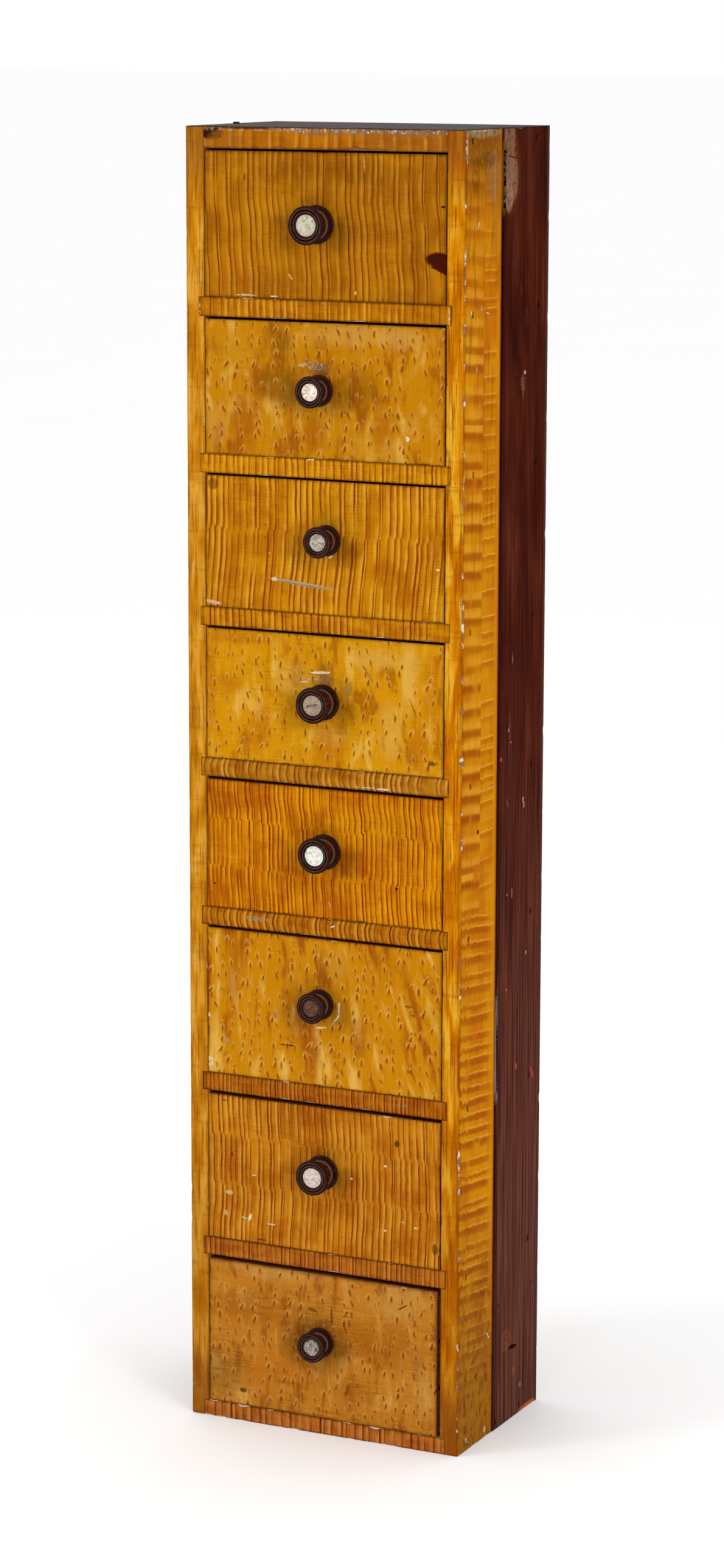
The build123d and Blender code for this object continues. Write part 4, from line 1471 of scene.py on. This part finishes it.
def knob_section(radius, projection, pearl):
    """Half the knob's section, from the tenon's end to the bottom of the pearl's seat."""
    tenon, wood = 4, 13
    flange, rise, collar_width = 2.6, 1.4, 0.9
    collar = radius - 3.4
    collar_top = flange + rise + collar_width
    rim_round = 1.2
    rim_foot = projection - 3.2
    groove = 0.775 * radius
    inner = 0.70 * radius
    seat = pearl + 0.15
    points = [(0, -wood), (tenon, -wood), (tenon, 0), (radius - 1.3, 0)]
    points += arc((radius - 1.3, 1.3), 1.3, -80, 90, 12)
    points += bow((radius - 1.9, flange), (collar + 0.4, flange + rise - 0.3), 0.35, 5)
    points += arc((collar - 0.45, flange + rise + 0.45), 0.62, -60, 75, 7)
    points += [(collar - 0.55, collar_top + 0.15)]
    points += cove((collar - 0.55, collar_top + 0.2), (radius - rim_round, rim_foot), radius - 4.6, 15)
    points += arc((radius - rim_round, rim_foot + rim_round), rim_round, -80, 0, 8)
    points += arc((radius - rim_round, projection - rim_round), rim_round, 0, 78, 8)
    points += arc((0.85 * radius, projection - 0.62), 0.55, 40, 140, 7)
    points += [(groove, projection - 1.2)]
    points += arc((inner, projection - 0.9), 0.62, 40, 150, 7)
    points += [(seat, projection - 1.15), (seat, projection - 2.5), (0, projection - 2.5)]
    return points


def lathe():
    """The node group that spins a half section round a line along Y, wearing it as it goes."""
    tree = bpy.data.node_groups.new("lathe", "GeometryNodeTree")
    asked = {"Geometry": "Geometry", "Steps": "Int", "Seed": "Float", "Material": "Material"}
    asked |= dict.fromkeys(("Centre X", "Centre Z", "Front", "Wear"), "Float")
    for name, kind in asked.items():
        tree.interface.new_socket(name, in_out="INPUT", socket_type=f"NodeSocket{kind}")
    tree.interface.new_socket("Geometry", in_out="OUTPUT", socket_type="NodeSocketGeometry")
    g = Nodes(tree)
    section = g.node("NodeGroupInput", output="Geometry")
    size = {"component": "MESH"}
    count = g.node("GeometryNodeAttributeDomainSize", size, {"Geometry": section}, "Point Count")
    steps = section.also("Steps") + 1
    sheet = {"Size X": 1, "Size Y": 1, "Vertices X": count, "Vertices Y": steps}
    grid = g.node("GeometryNodeMeshGrid", inputs=sheet, output="Mesh")
    place = g.node("GeometryNodeInputPosition")
    along, around, _ = g.split(place)
    row = (along + 0.5) * (count - 1)
    kind = {"data_type": "FLOAT_VECTOR", "domain": "POINT"}
    inputs = {"Geometry": section, "Value": place, "Index": row.maths("ROUND", row)}
    point = g.node("GeometryNodeSampleIndex", kind, inputs)
    radius, out, _ = g.split(point)
    turn = (around + 0.5) * (2 * math.pi)
    cosine = turn.maths("COSINE", turn)
    sine = turn.maths("SINE", turn)
    spot = g.vector(cosine * radius * 0.3, sine * radius * 0.3, out * 0.5 + section.also("Seed"))
    rough = g.node("ShaderNodeTexNoise", inputs={"Vector": spot, "Scale": 1, "Detail": 2})
    worn = radius - rough * section.also("Wear") * radius.maths("MINIMUM", radius, 1)
    x = section.also("Centre X") + cosine * worn
    z = section.also("Centre Z") + sine * worn
    turned = g.vector(x, section.also("Front") - out, z)
    spun = g.node("GeometryNodeSetPosition", inputs={"Geometry": grid, "Position": turned})
    joined = g.node("GeometryNodeMergeByDistance", inputs={"Geometry": spun, "Distance": 0.001})
    real = g.node("GeometryNodeRealizeInstances", inputs={"Geometry": joined})
    dressed = {"Geometry": real, "Material": section.also("Material")}
    result = g.node("GeometryNodeSetMaterial", inputs=dressed)
    g.node("NodeGroupOutput", inputs={"Geometry": result})
    return tree


def spun(section, sizes):
    """The mesh of a half section of (radius, distance out), spun on the lathe, in millimetres."""
    line = bpy.data.meshes.new("section")
    rows = [(n, n + 1) for n in range(len(section) - 1)]
    line.from_pydata([(radius, out, 0) for radius, out in section], rows, [])
    blank = bpy.data.objects.new("blank", line)
    bpy.context.scene.collection.objects.link(blank)
    turning = blank.modifiers.new("lathe", "NODES")
    turning.node_group = bpy.data.node_groups.get("lathe") or lathe()
    for socket in turning.node_group.interface.items_tree:
        if socket.in_out == "INPUT" and socket.name in sizes:
            turning[socket.identifier] = sizes[socket.name]
    graph = bpy.context.evaluated_depsgraph_get()
    mesh = bpy.data.meshes.new_from_object(blank.evaluated_get(graph), depsgraph=graph)
    blank.modifiers.remove(turning)
    bpy.data.objects.remove(blank)
    bm = bmesh.new()
    bm.from_mesh(mesh)
    bpy.data.meshes.remove(mesh)
    bmesh.ops.remove_doubles(bm, verts=bm.verts, dist=0.002)
    bmesh.ops.recalc_face_normals(bm, faces=bm.faces)
    return bm


def make_knob(number):
    x, z, radius, projection = knob_place(number)
    low, high = node_box(f"knob_inlay_{number}")
    pearl = (high.x - low.x) / 2
    body = f"drawer_{number}"
    wood = knob_paint(number)
    shell = shell_finish(number)
    sizes = {"Centre X": x, "Centre Z": z, "Front": case_front, "Steps": 96, "Seed": 10.0 * number}
    section = knob_section(radius, projection, pearl)
    bm = spun(section, sizes | {"Wear": 0.09, "Material": wood})
    as_piece(bm, f"turned_knob_{number}", body, f"knob_{number}", wood, 50)
    face = case_front - low.y
    floor = case_front - high.y
    section = [(0, floor), (pearl, floor), (pearl, face - 0.25)]
    section += [(pearl * (1 - n / 7) - 0.25 * (1 - n / 7), face + 0.02 * n - 0.05) for n in range(7)]
    section += [(0, face + 0.1)]
    bm = spun(section, sizes | {"Wear": 0.0, "Material": shell})
    as_piece(bm, f"pearl_{number}", body, f"knob_inlay_{number}", shell)


def make_drawers():
    for number in DRAWERS:
        make_front(number)
        make_knob(number)
        finish_node(f"drawer_sides_and_back_{number}", bare_pine(f"drawer_{number}_sides_pine", number, "Y"))
        finish_node(f"drawer_bottom_{number}", bare_pine(f"drawer_{number}_bottom_pine", number + 20, "X"))


# ---- Stage ------------------------------------------------------------------------------
def make_stage():
    floor = bpy.data.meshes.new("floor")
    reach = 60
    corners = [(-reach, -reach, 0), (reach, -reach, 0), (reach, reach, 0), (-reach, reach, 0)]
    floor.from_pydata(corners, [], [(0, 1, 2, 3)])
    stage = bpy.data.objects.new("floor", floor)
    bpy.context.scene.collection.objects.link(stage)
    f = Finish("pale_floor")
    cloud = f.noise((400,) * 3, 160)
    f.colour = f.mix(cloud, (0.97, 0.97, 0.97, 1), (0.985, 0.985, 0.985, 1))
    floor.materials.append(f.dress(0.85, gloss=0.1))


def soft_light(name, place, power):
    """A round lamp aimed at the middle of the chest."""
    aim = Vector((0, 0, 0.5))
    lamp = bpy.data.lights.new(name, "AREA")
    lamp.shape = "DISK"
    lamp.size = 0.9
    lamp.energy = power
    holder = bpy.data.objects.new(name, lamp)
    holder.location = place
    holder.rotation_euler = (aim - Vector(place)).to_track_quat("-Z", "Y").to_euler()
    bpy.context.scene.collection.objects.link(holder)


def make_light():
    world = bpy.data.worlds.new("pale_room")
    world.use_nodes = True
    sky = world.node_tree.nodes["Background"].inputs
    sky["Color"].default_value = (1, 1, 1, 1)
    sky["Strength"].default_value = 1
    bpy.context.scene.world = world
    soft_light("left_lamp", (-2, -2.2, 1.9), 20)
    soft_light("right_lamp", (2.6, -1.9, 1.6), 22)


CAMERA_PLACE = (1.2499, -2.5667, 1.0037)
CAMERA_TURN = (26.03, 10.71, 0.147)  # to the left, down and in its own plane, in degrees


def make_camera():
    camera = bpy.data.cameras.new("camera")
    camera.sensor_fit = "VERTICAL"
    camera.sensor_height = 36
    camera.lens = 93.66
    yaw, pitch, roll = (math.radians(angle) for angle in CAMERA_TURN)
    ahead = Vector((-math.sin(yaw) * math.cos(pitch), math.cos(yaw) * math.cos(pitch), -math.sin(pitch)))
    right = Vector((math.cos(yaw), math.sin(yaw), 0))
    up = right.cross(ahead)
    right, up = (
        right * math.cos(roll) + up * math.sin(roll),
        up * math.cos(roll) - right * math.sin(roll),
    )
    place = Matrix((right, up, -ahead)).transposed().to_4x4()
    place.translation = CAMERA_PLACE
    holder = bpy.data.objects.new("camera", camera)
    holder.matrix_world = place
    bpy.context.scene.collection.objects.link(holder)
    bpy.context.scene.camera = holder


make_camera()
make_light()
make_stage()
make_sides()
make_rails()
make_back()
make_drawers()
for nails in ("case_nails", "back_nails"):
    finish_node(nails, iron_finish())

bpy.context.scene.view_settings.view_transform = "Standard"
